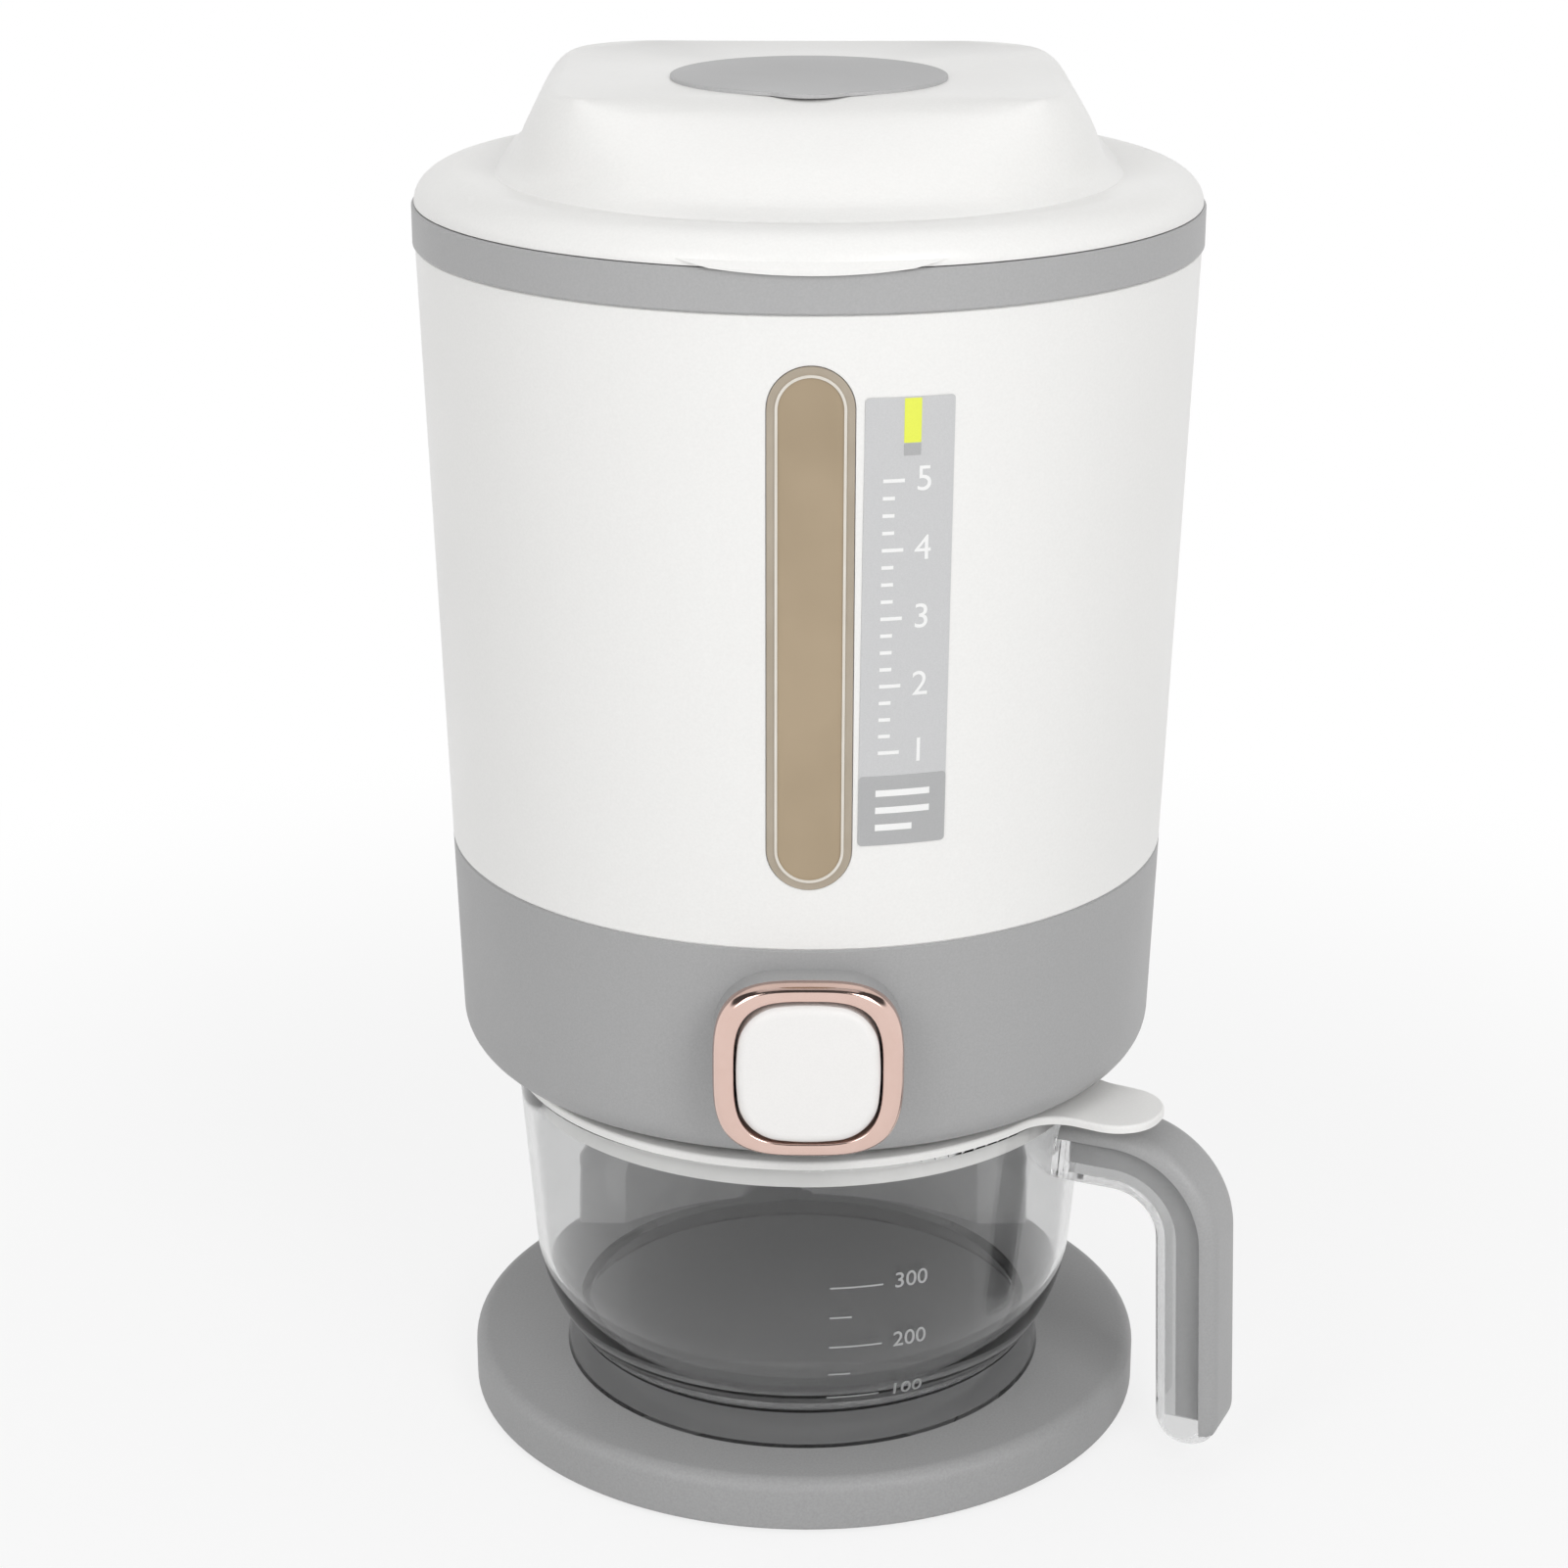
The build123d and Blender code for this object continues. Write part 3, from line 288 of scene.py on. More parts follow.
noiseSet = {
    "span": (0.3, 0.7),  # the part of a noise's range that is used
    "cloud": 22.0,  # slow change over a moulding
    "detail": {"cloud": 4.0, "grain": 3.0, "brush": 3.0, "wave": 1.0, "pane": 2.0},
    "bumpReach": 0.2,  # mm
}
refraction = {"moulding": 1.46, "pane": 1.49}


def newMaterial(name):
    mat = bpy.data.materials.new(name)
    mat.use_nodes = True
    return mat, mat.node_tree, mat.node_tree.nodes["Principled BSDF"]


def addNoise(tree, scale, kind):
    coord = tree.nodes.new("ShaderNodeTexCoord")
    turn = tree.nodes.new("ShaderNodeMapping")
    turn.inputs["Scale"].default_value = (scale, scale, scale)
    noise = tree.nodes.new("ShaderNodeTexNoise")
    noise.inputs["Scale"].default_value = 1.0
    noise.inputs["Detail"].default_value = noiseSet["detail"][kind]
    tree.links.new(coord.outputs["Object"], turn.inputs["Vector"])
    tree.links.new(turn.outputs["Vector"], noise.inputs["Vector"])
    return noise.outputs["Fac"]


def spread(tree, source, low, high):
    span = tree.nodes.new("ShaderNodeMapRange")
    span.inputs["From Min"].default_value, span.inputs["From Max"].default_value = noiseSet["span"]
    span.inputs["To Min"].default_value = low
    span.inputs["To Max"].default_value = high
    tree.links.new(source, span.inputs["Value"])
    return span.outputs["Result"]


def blendColours(tree, source, first, second):
    mix = tree.nodes.new("ShaderNodeMix")
    mix.data_type = "RGBA"
    mix.inputs[6].default_value = (*first, 1.0)
    mix.inputs[7].default_value = (*second, 1.0)
    tree.links.new(spread(tree, source, 0.0, 1.0), mix.inputs[0])
    return mix.outputs[2]


def addBump(tree, shader, source, lift):
    bump = tree.nodes.new("ShaderNodeBump")
    bump.inputs["Strength"].default_value = lift
    bump.inputs["Distance"].default_value = noiseSet["bumpReach"] * mm
    tree.links.new(source, bump.inputs["Height"])
    tree.links.new(bump.outputs["Normal"], shader.inputs["Normal"])


def mouldedPlastic(name):
    look = finishes[name]
    mat, tree, shader = newMaterial(name)
    cloud = addNoise(tree, noiseSet["cloud"], "cloud")
    grain = addNoise(tree, look["grain"], "grain")  # spark-eroded grain
    dark = tuple(c * look["shade"] for c in look["colour"])
    tree.links.new(blendColours(tree, grain, dark, look["colour"]), shader.inputs["Base Color"])
    tree.links.new(spread(tree, cloud, *look["rough"]), shader.inputs["Roughness"])
    shader.inputs["IOR"].default_value = refraction["moulding"]
    shader.inputs["Metallic"].default_value = look.get("metal", 0.0)
    addBump(tree, shader, grain, look["lift"])
    return mat


def plainMetal(name):
    look = metals[name]
    mat, tree, shader = newMaterial(name)
    brush = addNoise(tree, look["brush"], "brush")
    tree.links.new(blendColours(tree, brush, look["dull"], look["colour"]), shader.inputs["Base Color"])
    tree.links.new(spread(tree, brush, *look["rough"]), shader.inputs["Roughness"])
    shader.inputs["Metallic"].default_value = 1.0
    return mat


def clearPlastic(name):
    look = clearSet[name]
    mat, tree, shader = newMaterial("clear" + name.capitalize())
    wave = addNoise(tree, look["wave"], "wave")
    tree.links.new(spread(tree, wave, *look["rough"]), shader.inputs["Roughness"])
    shader.inputs["Base Color"].default_value = (*look["colour"], 1.0)
    shader.inputs["Transmission Weight"].default_value = 1.0
    shader.inputs["IOR"].default_value = look["ior"]
    shader.inputs["Coat Weight"].default_value = look.get("coat", 0.0)
    addBump(tree, shader, wave, look["lift"])
    # lamps shine through it, or its inside would be black
    path = tree.nodes.new("ShaderNodeLightPath")
    passThrough = tree.nodes.new("ShaderNodeBsdfTransparent")
    mix = tree.nodes.new("ShaderNodeMixShader")
    out = tree.nodes["Material Output"]
    tree.links.new(path.outputs["Is Shadow Ray"], mix.inputs["Fac"])
    tree.links.new(shader.outputs[0], mix.inputs[1])
    tree.links.new(passThrough.outputs[0], mix.inputs[2])
    tree.links.new(mix.outputs[0], out.inputs["Surface"])
    return mat


def tintedClear(name):
    look = windowSet[name]
    mat, tree, shader = newMaterial("window" + name.capitalize())
    wave = addNoise(tree, look["wave"], "pane")
    tree.links.new(blendColours(tree, wave, look["shade"], look["colour"]), shader.inputs["Base Color"])
    tree.links.new(spread(tree, wave, *look["rough"]), shader.inputs["Roughness"])
    shader.inputs["Transmission Weight"].default_value = look["see"]
    shader.inputs["IOR"].default_value = refraction["pane"]
    return mat


materials = {name: mouldedPlastic(name) for name in finishes}
materials.update({name: plainMetal(name) for name in metals})
materials.update({"clear" + name.capitalize(): clearPlastic(name) for name in clearSet})
windowFinishes = ("pane", "border", "bead")
materials.update({"window" + name.capitalize(): tintedClear(name) for name in windowFinishes})
print("finishes ready:", len(materials))


# pieces that keep the moulded shape: a welded, smoothly shaded copy stands for each

dressed = {
    "base": ("baseGrey", "base_plastic"),
    "base_plate": ("innerGrey", "grey_plastic"),
    "base_pad": ("padRubber", "soft_rubber"),
    # the column and its cover wear the lighter grey that paints light into the niche
    "column": ("columnGreyPaintedLight", "base_plastic"),
    "column_cover": ("columnGreyPaintedLight", "base_plastic"),
    "lower_housing": ("greyPlastic", "grey_plastic"),
    "button_collar": ("greyPlastic", "grey_plastic"),
    "button": ("whiteSatin", "white_plastic"),
    "return_spring": ("springSteel", "steel"),
    "hopper": ("whitePlastic", "white_plastic"),
    "sight_window": ("windowPane", "amber_clear"),
    "rim_band": ("bandGrey", "grey_plastic"),
    "lid": ("whitePlastic", "white_plastic"),
    "absorber_cap": ("capGrey", "grey_plastic"),
    "cup": ("clearCup", "clear_plastic"),
    "cup_handle": ("clearHandle", "clear_plastic"),
    "handle_insert": ("gripGrey", "grey_plastic"),
    "cup_lid": ("whitePlastic", "white_plastic"),
}
kept = {
    "base_screws": "springSteel",
    "column_screws": "springSteel",
    "frame_screws": "springSteel",
    "stem_screw": "springSteel",
    "hinge_pin": "springSteel",
    "lid_ring": "innerWhite",
    "funnel_seat": "innerGrey",
    "funnel": "innerWhite",
    "gate_frame": "innerGrey",
    "gate_slide": "innerWhite",
    "button_stem": "innerWhite",
    "lid_gasket": "sealRubber",
    "absorber_cup": "innerGrey",
}
smoothSet = {"weld": 0.002 * mm, "sharpAngle": 32.0}  # degrees


def bodyOf(node):
    return frame["nodes"][node]["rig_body"]


def weldedCopy(node):
    mesh = frame["nodes"][node].data.copy()
    mesh.name = node + "Skin"
    for name in [a.name for a in mesh.attributes if a.name == "custom_normal"]:
        mesh.attributes.remove(mesh.attributes[name])
    bm = bmesh.new()
    bm.from_mesh(mesh)
    bmesh.ops.remove_doubles(bm, verts=bm.verts, dist=smoothSet["weld"])
    bm.to_mesh(mesh)
    bm.free()
    mesh.materials.clear()
    return mesh


def shadeSmooth(mesh, angle=smoothSet["sharpAngle"]):
    mesh.shade_smooth()
    mesh.set_sharp_from_angle(angle=math.radians(angle))


def placePiece(name, mesh, body, nodes=()):
    obj = bpy.data.objects.new(name, mesh)
    scene.collection.objects.link(obj)
    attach(obj, body)
    if nodes:
        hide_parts(*nodes)
    return obj


# small changes of form on five of these pieces

buttonMiddle = 142.5  # mm, height of the button


def sliceFaces(bm, faces, axis, start, stop, step):
    way = Vector((0.0, 0.0, 0.0))
    way[axis] = 1.0
    cut = start
    while cut <= stop:
        faces = [f for f in faces if f.is_valid]
        geom = list({v for f in faces for v in f.verts}) + list({e for f in faces for e in f.edges}) + faces
        made = bmesh.ops.bisect_plane(bm, geom=geom, plane_co=way * cut * mm, plane_no=way)["geom"]
        faces = [g for g in made if isinstance(g, bmesh.types.BMFace)]
        cut += step
    return faces


lidSlopeSet = {
    "start": 44.0,  # mm in front of the middle, where the slope begins
    "gutter": 83.0,
    "top": 379.0,
    "fall": 23.8,
    "soft": 8.0,  # of the turn from roof to slope
    "above": 353.0,
    "grid": 2.5,
    "leastRun": 1.0,
    "edge": 348.1,  # top of the front lip
    "lip": 0.65,  # share of the lip that stays
    "rayFrom": 1.0,  # metres
}


def slopeLid(mesh):
    # the roof runs down from the front of the cap to the gutter in one soft slope
    look = lidSlopeSet
    nearest = look["start"] / 2
    bm = bmesh.new()
    bm.from_mesh(mesh)
    roof = BVHTree.FromBMesh(bm)
    front = [f for f in bm.faces if all(v.co.z > look["above"] * mm for v in f.verts)
             and any(v.co.y < -nearest * mm for v in f.verts)]
    front = sliceFaces(bm, front, 1, -look["gutter"], -nearest, look["grid"])
    sliceFaces(bm, front, 0, -look["gutter"], look["gutter"], look["grid"])
    for vert in bm.verts:
        x, y, z = vert.co / mm
        if z < look["edge"] and y < 0.0:
            vert.co.z = (look["edge"] - (look["edge"] - z) * look["lip"]) * mm  # a smaller lip
        if z <= look["above"] or -y <= nearest or math.hypot(x, y) >= look["gutter"]:
            continue
        run = max(math.sqrt(look["gutter"] ** 2 - x ** 2) - look["start"], look["leastRun"])
        share = (-y - look["start"]) / run
        wanted = look["top"] - look["fall"] * share
        above = Vector((vert.co.x, vert.co.y, look["rayFrom"]))
        hit = roof.ray_cast(above, Vector((0.0, 0.0, -1.0)))[0]
        if hit is None or share >= 1.0:
            continue
        # the lower of roof and slope, with a soft turn between them
        high = hit.z / mm
        soft = look["soft"] * min(1.0 - share, 1.0)
        near = max(soft - abs(high - wanted), 0.0) / soft
        vert.co.z += (min(high, wanted) - near ** 2 * soft / 4 - high) * mm
    bm.to_mesh(mesh)
    bm.free()


capSet = {
    "seat": 379.0,  # mm, top of the lid
    "flatten": 0.45,
    "radius": 36.5,
    "tabHalf": 10.0,
    "tabLength": 6.5,
    "tabReach": 3.4,
    "strip": 1.25,
    "slack": 0.01,
}


def flattenCap(mesh):
    # a thin cap whose tab is a shallow lens
    look = capSet
    bm = bmesh.new()
    bm.from_mesh(mesh)
    high = [f for f in bm.faces if all(v.co.z >= (look["seat"] - look["slack"]) * mm for v in f.verts)]
    sliceFaces(bm, high, 0, -look["tabHalf"], look["tabHalf"], look["strip"])
    for vert in bm.verts:
        x, y, z = vert.co / mm
        if z > look["seat"]:
            vert.co.z = (look["seat"] + (z - look["seat"]) * look["flatten"]) * mm
        outside = math.hypot(x, y) > look["radius"] + look["slack"]
        if y < 0.0 and abs(x) <= look["tabHalf"] + look["slack"] and outside:
            edge = -math.sqrt(look["radius"] ** 2 - x ** 2)
            bow = max(1.0 - (x / look["tabHalf"]) ** 2, 0.0)
            longest = look["radius"] + look["tabLength"] + edge
            vert.co.y = (edge + (y - edge) / longest * look["tabReach"] * bow) * mm
    bm.to_mesh(mesh)
    bm.free()


tongueSet = {
    "angle": -24.0,  # degrees
    "axis": (-0.6, -10.0),  # mm
    "halfWidth": 8.0,
    "fromRadius": 90.0,
    "lowEnd": 19.5,
    "standOff": 2.8,
    "outward": 0.05,  # the tongue's faces look inwards and down, within these shares
    "sideways": 0.1,
    "inward": -0.6,
}


def thinTongue(mesh):
    # the grip's tongue stands off the clear floor of the handle
    look = tongueSet
    turn = Matrix.Rotation(math.radians(-look["angle"]), 4, "Z")
    axis = Vector((*look["axis"], 0.0)) * mm
    bm = bmesh.new()
    bm.from_mesh(mesh)
    moves = {}
    for face in bm.faces:
        local = [turn @ (v.co - axis) / mm for v in face.verts]
        way = turn.to_3x3() @ face.normal
        tooWide = max(abs(p.y) for p in local) > look["halfWidth"]
        turnedAway = max(way.x, way.z) > look["outward"] or abs(way.y) > look["sideways"]
        onCupSide = min(p.x for p in local) < look["fromRadius"] and way.x < look["inward"]
        if tooWide or turnedAway or onCupSide or max(p.z for p in local) < look["lowEnd"]:
            continue
        for vert in face.verts:
            moves.setdefault(vert, []).append(face.normal.copy())
    for vert, normals in moves.items():
        vert.co -= sum(normals, Vector()).normalized() * look["standOff"] * mm
    bm.to_mesh(mesh)
    bm.free()


# mm: what lies in front of the first moves forward by the second, and grows taller by the third
pushSet = {"button": (-103.0, 6.2, 1.028), "collar": (-102.0, 3.0, 1.0)}


def bringForward(key):
    limit, reach, taller = pushSet[key]

    def change(mesh):
        for vert in mesh.vertices:
            if vert.co.y < limit * mm:
                vert.co.y -= reach * mm
                vert.co.z += (vert.co.z - buttonMiddle * mm) * (taller - 1.0)
    return change


reshaped = {
    "handle_insert": thinTongue,
    "lid": slopeLid,
    "absorber_cap": flattenCap,
    "button": bringForward("button"),
    "button_collar": bringForward("collar"),
}
for node, (finish, slot) in dressed.items():
    skin = weldedCopy(node)
    if node in reshaped:
        reshaped[node](skin)
    shadeSmooth(skin)
    skin.materials.append(materials[finish])
    placePiece(node + "_skin", skin, bodyOf(node), (node,))
for node, finish in kept.items():
    mesh = frame["nodes"][node].data
    mesh.materials.clear()
    mesh.materials.append(materials[finish])
spring = bpy.data.objects["return_spring_skin"]
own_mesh(spring)
print("moulded pieces dressed:", len(dressed), "kept:", len(kept))


def colourWindow(mesh):
    # a painted highlight runs round the pane at an even distance from the edge of the window, where its
    # step catches the light
    half = windowSet["halfWidth"]
    low, high = windowSet["ends"]
    outer, inner = windowSet["highlightInset"]
    for name in ("windowBorder", "windowBead"):
        mesh.materials.append(materials[name])
    for face in mesh.polygons:
        x, z = face.center.x / mm, face.center.z / mm
        middle = min(max(z, low + half), high - half)
        inset = half - math.hypot(x, z - middle)
        face.material_index = 0 if inset > inner else 2 if inset > outer else 1


footHeight = 26.0  # mm, where the bowl leaves its foot ring


def colourFoot(mesh):
    # the foot ring is darker than the bowl: partly its thicker plastic holding back light, partly painted
    # shade
    mesh.materials.append(materials["clearFoot"])
    for face in mesh.polygons:
        if face.center.z < footHeight * mm:
            face.material_index = 1


colourWindow(bpy.data.objects["sight_window_skin"].data)
colourFoot(bpy.data.objects["cup_skin"].data)
print("window and cup foot coloured")


# rose ring round the button: one soft-cornered outline carried along a rounded section

ringSet = {
    "front": -110.0,  # mm
    "power": 3.3,  # 2 is a circle, more is squarer
    "steps": 160,
    "sharpAngle": 50.0,  # degrees
    "hole": (19.1, 19.8),  # half width and half height
    "outer": (24.6, 24.0),
    "bevel": 0.46,  # share of the width
    "lip": 0.12,
    "deep": 3.8,
    "lipDeep": 0.6,
    "wall": 4.6,
    "arcSteps": 12,
}


def ringSection():
    # share of the way from hole to outside, and depth behind the front, from the back of the outside round
    look = ringSet
    points = [(1.0, look["wall"])]
    for i in range(look["arcSteps"] + 1):
        a = math.pi / 2 * i / look["arcSteps"]
        points.append((1.0 - look["bevel"] * (1.0 - math.cos(a)), look["deep"] * (1.0 - math.sin(a))))
    for i in range(look["arcSteps"] + 1):
        a = math.pi / 2 * i / look["arcSteps"]
        points.append((look["lip"] * (1.0 - math.sin(a)), look["lipDeep"] * (1.0 - math.cos(a))))
    points.append((0.0, look["wall"]))
    return points


def addRing():
    power = ringSet["power"]
    sizes = list(zip(ringSet["hole"], ringSet["outer"]))
    bm = bmesh.new()
    rings = []
    for share, deep in ringSection():
        halfWidth, halfHeight = (low + share * (high - low) for low, high in sizes)
        row = []
        for i in range(ringSet["steps"]):
            a = 2 * math.pi * i / ringSet["steps"]
            reach = (abs(math.cos(a)) ** power + abs(math.sin(a)) ** power) ** (-1 / power)
            x, z = halfWidth * reach * math.cos(a), buttonMiddle + halfHeight * reach * math.sin(a)
            row.append(bm.verts.new(Vector((x, ringSet["front"] + deep, z)) * mm))
        rings.append(row)
    for row, after in zip(rings, rings[1:] + rings[:1]):
        for i in range(ringSet["steps"]):
            j = (i + 1) % ringSet["steps"]
            bm.faces.new((row[i], row[j], after[j], after[i]))
    bmesh.ops.recalc_face_normals(bm, faces=bm.faces)
    mesh = bpy.data.meshes.new("buttonRing")
    bm.to_mesh(mesh)
    bm.free()
    shadeSmooth(mesh, ringSet["sharpAngle"])
    mesh.materials.append(materials["roseMetal"])
    placePiece("buttonRing", mesh, bodyOf("button_bezel"), ("button_bezel",))
    print("button ring made")


addRing()


# thin plates that lie on a round wall: the label beside the window and the marks on the cup

plateSet = {"strip": 1.6, "weld": 0.001}  # mm, strips that follow the round wall
labelSet = {
    "cone": {"low": (99.07, 172.0), "high": (104.30, 337.0)},  # hopper wall: radius, height
    "turn": 13.5,  # degrees to the right of the front
    "sheet": {"left": -11.3, "right": 11.3, "low": 200.6, "high": 316.6, "corner": 1.0},
    "tag": {"left": -1.6, "right": 2.7, "low": 305.2, "high": 316.3, "corner": 0.2},
    "tagFoot": {"left": -1.6, "right": 2.7, "low": 302.0, "high": 305.0, "corner": 0.2},
    "footBlock": {"left": -11.3, "right": 11.3, "low": 200.6, "high": 219.2, "corner": 1.0},
    "bars": {"count": 17, "step": 4.4, "every": 4, "long": 5.4, "short": 3.0, "width": 0.9,
             "place": (-6.6, 225.4)},
    "numbers": {"text": "12345", "size": 9.0, "column": 3.8, "first": 225.4, "step": 17.6},
    "footBars": {"count": 3, "step": 4.6, "every": 3, "long": 9.5, "short": 14.0, "width": 1.7,
                 "place": (-7.0, 205.4)},
    "rise": 0.06,
    "thick": 0.10,
}
cupMarkSet = {
    "axis": (-0.6, -10.0),  # mm
    "rim": (81.5, 106.8),
    "shoulder": (77.2, 53.0),
    "foot": (67.2, 27.0),
    "turn": 5.0,
    "bars": {"count": 5, "step": 9.3, "every": 2, "long": 14.5, "short": 6.0, "width": 0.42,
             "place": (0.0, 33.0)},
    "numbers": {"texts": ("100", "200", "300"), "size": 6.6, "column": 22.5, "first": 33.4,
                "step": 18.6},
    "rise": 0.03,
    "thick": 0.28,
}


def coneRadius(z):
    wall = labelSet["cone"]
    share = (z - wall["low"][1]) / (wall["high"][1] - wall["low"][1])
    return wall["low"][0] + share * (wall["high"][0] - wall["low"][0])


def wrapOnHopper(u, v, lift):
    radius = coneRadius(v) + lift
    turn = math.radians(labelSet["turn"]) + u / coneRadius(v)
    return Vector((radius * math.sin(turn), -radius * math.cos(turn), v)) * mm


def cupRadius(z):
    # straight flank above the shoulder, then an arc that runs into the foot
    rim, shoulder, foot = cupMarkSet["rim"], cupMarkSet["shoulder"], cupMarkSet["foot"]
    flank = Vector((rim[0] - shoulder[0], rim[1] - shoulder[1])).normalized()
    if z >= shoulder[1]:
        return shoulder[0] + (z - shoulder[1]) * flank.x / flank.y
    inward = Vector((-flank.y, flank.x))
    span = Vector(foot) - Vector(shoulder)
    bend = span.length_squared / (2 * span.dot(inward))
    centre = Vector(shoulder) + bend * inward
    return centre.x + math.sqrt(bend ** 2 - (z - centre.y) ** 2)


def wrapOnCup(u, v, lift):
    radius = cupRadius(v) + lift
    turn = math.radians(cupMarkSet["turn"]) + u / cupRadius(v)
    x, y = cupMarkSet["axis"]
    return Vector((x + radius * math.sin(turn), y - radius * math.cos(turn), v)) * mm


def roundedBox(left, right, low, high, corner, steps=6):
    # outline in mm, from the lower right corner round
    points = []
    for x, y, start in ((right, low, -90), (right, high, 0), (left, high, 90), (left, low, 180)):
        cx = x - corner if x == right else x + corner
        cy = y - corner if y == high else y + corner
        for i in range(steps + 1):
            a = math.radians(start + 90 * i / steps)
            points.append((cx + corner * math.cos(a), cy + corner * math.sin(a)))
    return points


def outlineMesh(outline):
    bm = bmesh.new()
    bm.faces.new([bm.verts.new((x, y, 0.0)) for x, y in outline])
    return bm


def plainMesh(obj):
    return bpy.data.meshes.new_from_object(obj.evaluated_get(bpy.context.evaluated_depsgraph_get()))


def numberMesh(text, size, place):
    # plain numerals, made a mesh before they are placed
    curve = bpy.data.curves.new("number" + text, "FONT")
    curve.body = text
    curve.size = size
    curve.align_x = "CENTER"
    curve.align_y = "CENTER"
    obj = bpy.data.objects.new("number" + text, curve)
    scene.collection.objects.link(obj)
    mesh = plainMesh(obj)
    bpy.data.objects.remove(obj)
    bpy.data.curves.remove(curve)
    mesh.transform(Matrix.Translation((*place, 0.0)))
    return mesh


def joinFlat(meshes):
    bm = bmesh.new()
    for mesh in meshes:
        bm.from_mesh(mesh)
        bpy.data.meshes.remove(mesh)
    return bm


def platePiece(name, bm, wrap, rise, thick, finish, body):
    # cut the flat shapes into strips, give them a thickness and lay them on the wall
    bmesh.ops.remove_doubles(bm, verts=bm.verts, dist=plateSet["weld"])
    left = min(v.co.x for v in bm.verts)
    right = max(v.co.x for v in bm.verts)
    cut = left + plateSet["strip"]
    while cut < right:
        geom = bm.verts[:] + bm.edges[:] + bm.faces[:]
        bmesh.ops.bisect_plane(bm, geom=geom, plane_co=(cut, 0, 0), plane_no=(1, 0, 0))
        cut += plateSet["strip"]
    low = bm.verts[:]
    made = bmesh.ops.extrude_face_region(bm, geom=bm.faces[:])["geom"]
    for vert in made:
        if isinstance(vert, bmesh.types.BMVert):
            vert.co.z = thick
    for vert in low:
        vert.co.z = 0.0
    for vert in bm.verts:
        vert.co = wrap(vert.co.x, vert.co.y, rise + vert.co.z)
    bmesh.ops.recalc_face_normals(bm, faces=bm.faces)
    mesh = bpy.data.meshes.new(name)
    bm.to_mesh(mesh)
    bm.free()
    shadeSmooth(mesh)
    mesh.materials.append(materials[finish])
    return placePiece(name, mesh, body)


def addSocket(tree, name, kind, value):
    socket = tree.interface.new_socket(name=name, in_out="INPUT", socket_type=kind)
    socket.default_value = value
    return socket.identifier


barSockets = {
    "count": ("Bars", "NodeSocketInt", 5),
    "step": ("Step", "NodeSocketFloat", 10.0),
    "every": ("Long Every", "NodeSocketInt", 2),
    "long": ("Long Bar", "NodeSocketFloat", 12.0),
    "short": ("Short Bar", "NodeSocketFloat", 6.0),
    "width": ("Bar Width", "NodeSocketFloat", 0.6),
}


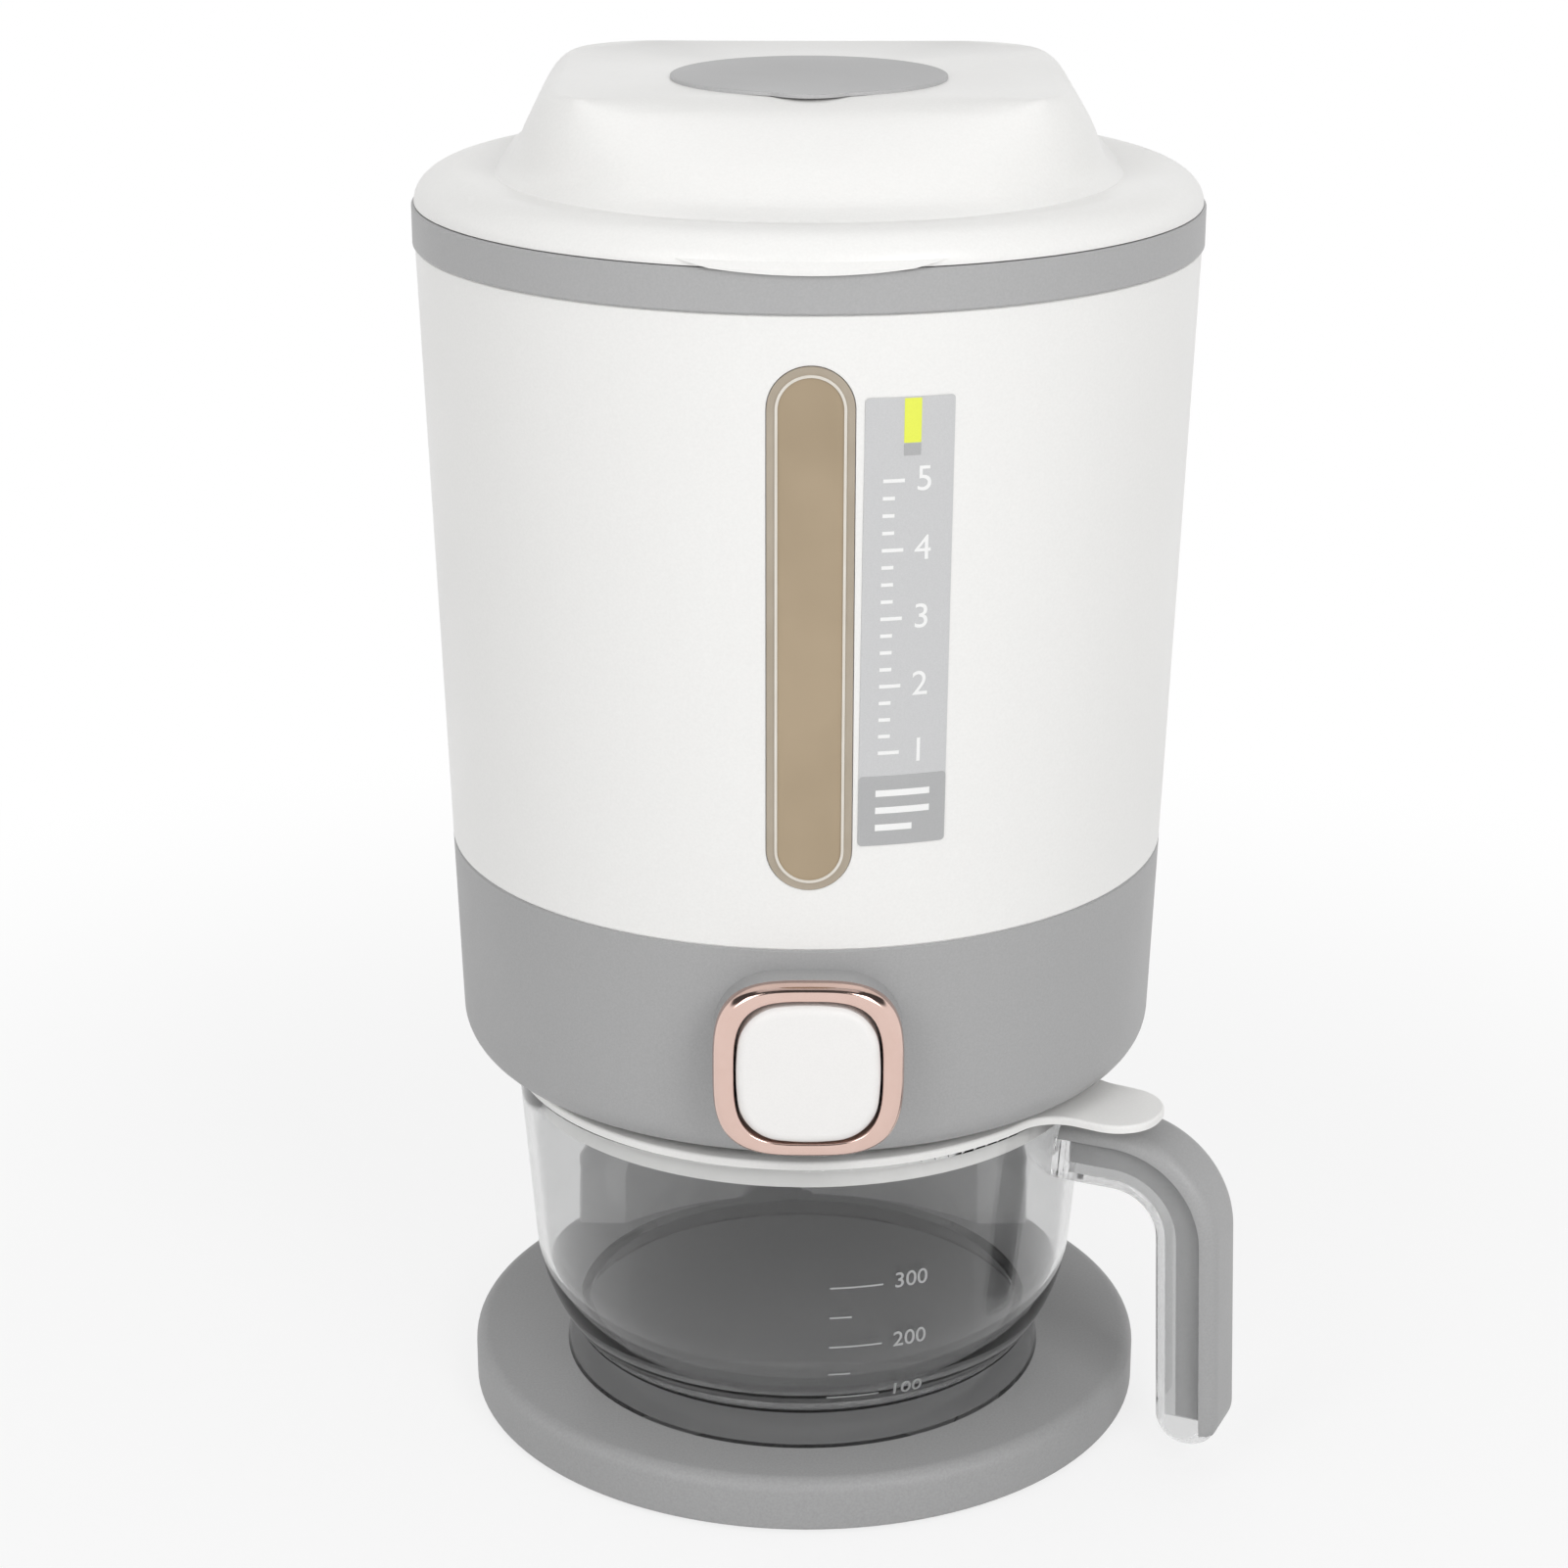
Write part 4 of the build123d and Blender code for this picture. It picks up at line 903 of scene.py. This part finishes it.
def barScaleTree():
    # a ladder of bars: every few bars a long one, the rest short
    tree = bpy.data.node_groups.new("barScale", "GeometryNodeTree")
    names = {key: addSocket(tree, *row) for key, row in barSockets.items()}
    face = tree.interface
    finish = face.new_socket(name="Finish", in_out="INPUT", socket_type="NodeSocketMaterial")
    names["finish"] = finish.identifier
    face.new_socket(name="Geometry", in_out="OUTPUT", socket_type="NodeSocketGeometry")
    nodes, links = tree.nodes, tree.links
    group = nodes.new("NodeGroupInput")
    out = nodes.new("NodeGroupOutput")
    line = nodes.new("GeometryNodeMeshLine")
    offset = nodes.new("ShaderNodeCombineXYZ")
    links.new(group.outputs["Step"], offset.inputs["Y"])
    links.new(group.outputs["Bars"], line.inputs["Count"])
    links.new(offset.outputs[0], line.inputs["Offset"])
    index = nodes.new("GeometryNodeInputIndex")
    rest = nodes.new("ShaderNodeMath")
    rest.operation = "MODULO"
    links.new(index.outputs[0], rest.inputs[0])
    links.new(group.outputs["Long Every"], rest.inputs[1])
    isShort = nodes.new("ShaderNodeMath")
    isShort.operation = "GREATER_THAN"
    isShort.inputs[1].default_value = 0.5
    links.new(rest.outputs[0], isShort.inputs[0])
    length = nodes.new("ShaderNodeMix")
    length.data_type = "FLOAT"
    links.new(isShort.outputs[0], length.inputs[0])
    links.new(group.outputs["Long Bar"], length.inputs[2])
    links.new(group.outputs["Short Bar"], length.inputs[3])
    size = nodes.new("ShaderNodeCombineXYZ")
    size.inputs["Z"].default_value = 1.0
    links.new(length.outputs[0], size.inputs["X"])
    links.new(group.outputs["Bar Width"], size.inputs["Y"])
    bar = nodes.new("GeometryNodeMeshGrid")
    bar.inputs["Size X"].default_value = 1.0
    bar.inputs["Size Y"].default_value = 1.0
    bar.inputs["Vertices X"].default_value = 2
    bar.inputs["Vertices Y"].default_value = 2
    shift = nodes.new("GeometryNodeTransform")
    shift.inputs["Translation"].default_value = (0.5, 0.0, 0.0)  # each bar grows from its left end
    links.new(bar.outputs["Mesh"], shift.inputs["Geometry"])
    copies = nodes.new("GeometryNodeInstanceOnPoints")
    links.new(line.outputs["Mesh"], copies.inputs["Points"])
    links.new(shift.outputs[0], copies.inputs["Instance"])
    links.new(size.outputs[0], copies.inputs["Scale"])
    real = nodes.new("GeometryNodeRealizeInstances")
    paint = nodes.new("GeometryNodeSetMaterial")
    links.new(copies.outputs[0], real.inputs[0])
    links.new(real.outputs[0], paint.inputs["Geometry"])
    links.new(group.outputs["Finish"], paint.inputs["Material"])
    links.new(paint.outputs[0], out.inputs["Geometry"])
    return tree, names


barScale, barInputs = barScaleTree()


def barMesh(name, look, finish):
    obj = bpy.data.objects.new(name, bpy.data.meshes.new(name))
    scene.collection.objects.link(obj)
    mod = obj.modifiers.new("bars", "NODES")
    mod.node_group = barScale
    for key in barSockets:
        mod[barInputs[key]] = look[key]
    mod[barInputs["finish"]] = materials[finish]
    mesh = plainMesh(obj)
    obj.modifiers.remove(mod)
    bpy.data.objects.remove(obj)
    mesh.transform(Matrix.Translation((*look["place"], 0.0)))
    mesh.materials.clear()
    return mesh


def addLabel():
    stand = bodyOf("hopper")
    rise, thick = labelSet["rise"], labelSet["thick"]
    plates = (("labelSheet", "sheet", "labelFilm", 0), ("labelTag", "tag", "tagYellow", 1),
              ("labelTagFoot", "tagFoot", "tagGrey", 1), ("labelFootBlock", "footBlock", "tagGrey", 1))
    for name, key, finish, layer in plates:
        shape = outlineMesh(roundedBox(**labelSet[key]))
        platePiece(name, shape, wrapOnHopper, rise + layer * thick, thick, finish, stand)
    look = labelSet["numbers"]
    parts = [barMesh("labelBars", labelSet["bars"], "printWhite")]
    for i, text in enumerate(look["text"]):
        parts.append(numberMesh(text, look["size"], (look["column"], look["first"] + i * look["step"])))
    marks = joinFlat(parts)
    platePiece("labelScale", marks, wrapOnHopper, rise + thick, thick, "printWhite", stand)
    lines = joinFlat([barMesh("footBars", labelSet["footBars"], "printWhite")])
    platePiece("labelFootBars", lines, wrapOnHopper, rise + 2 * thick, thick, "printWhite", stand)
    print("label laid on the hopper")


def addCupMarks():
    look = cupMarkSet["numbers"]
    parts = [barMesh("cupBars", cupMarkSet["bars"], "frostMark")]
    for i, text in enumerate(look["texts"]):
        parts.append(numberMesh(text, look["size"], (look["column"], look["first"] + i * look["step"])))
    platePiece("cupScale", joinFlat(parts), wrapOnCup, cupMarkSet["rise"], cupMarkSet["thick"], "frostMark",
               bodyOf("cup"))
    print("measuring marks laid on the cup")


addLabel()
addCupMarks()
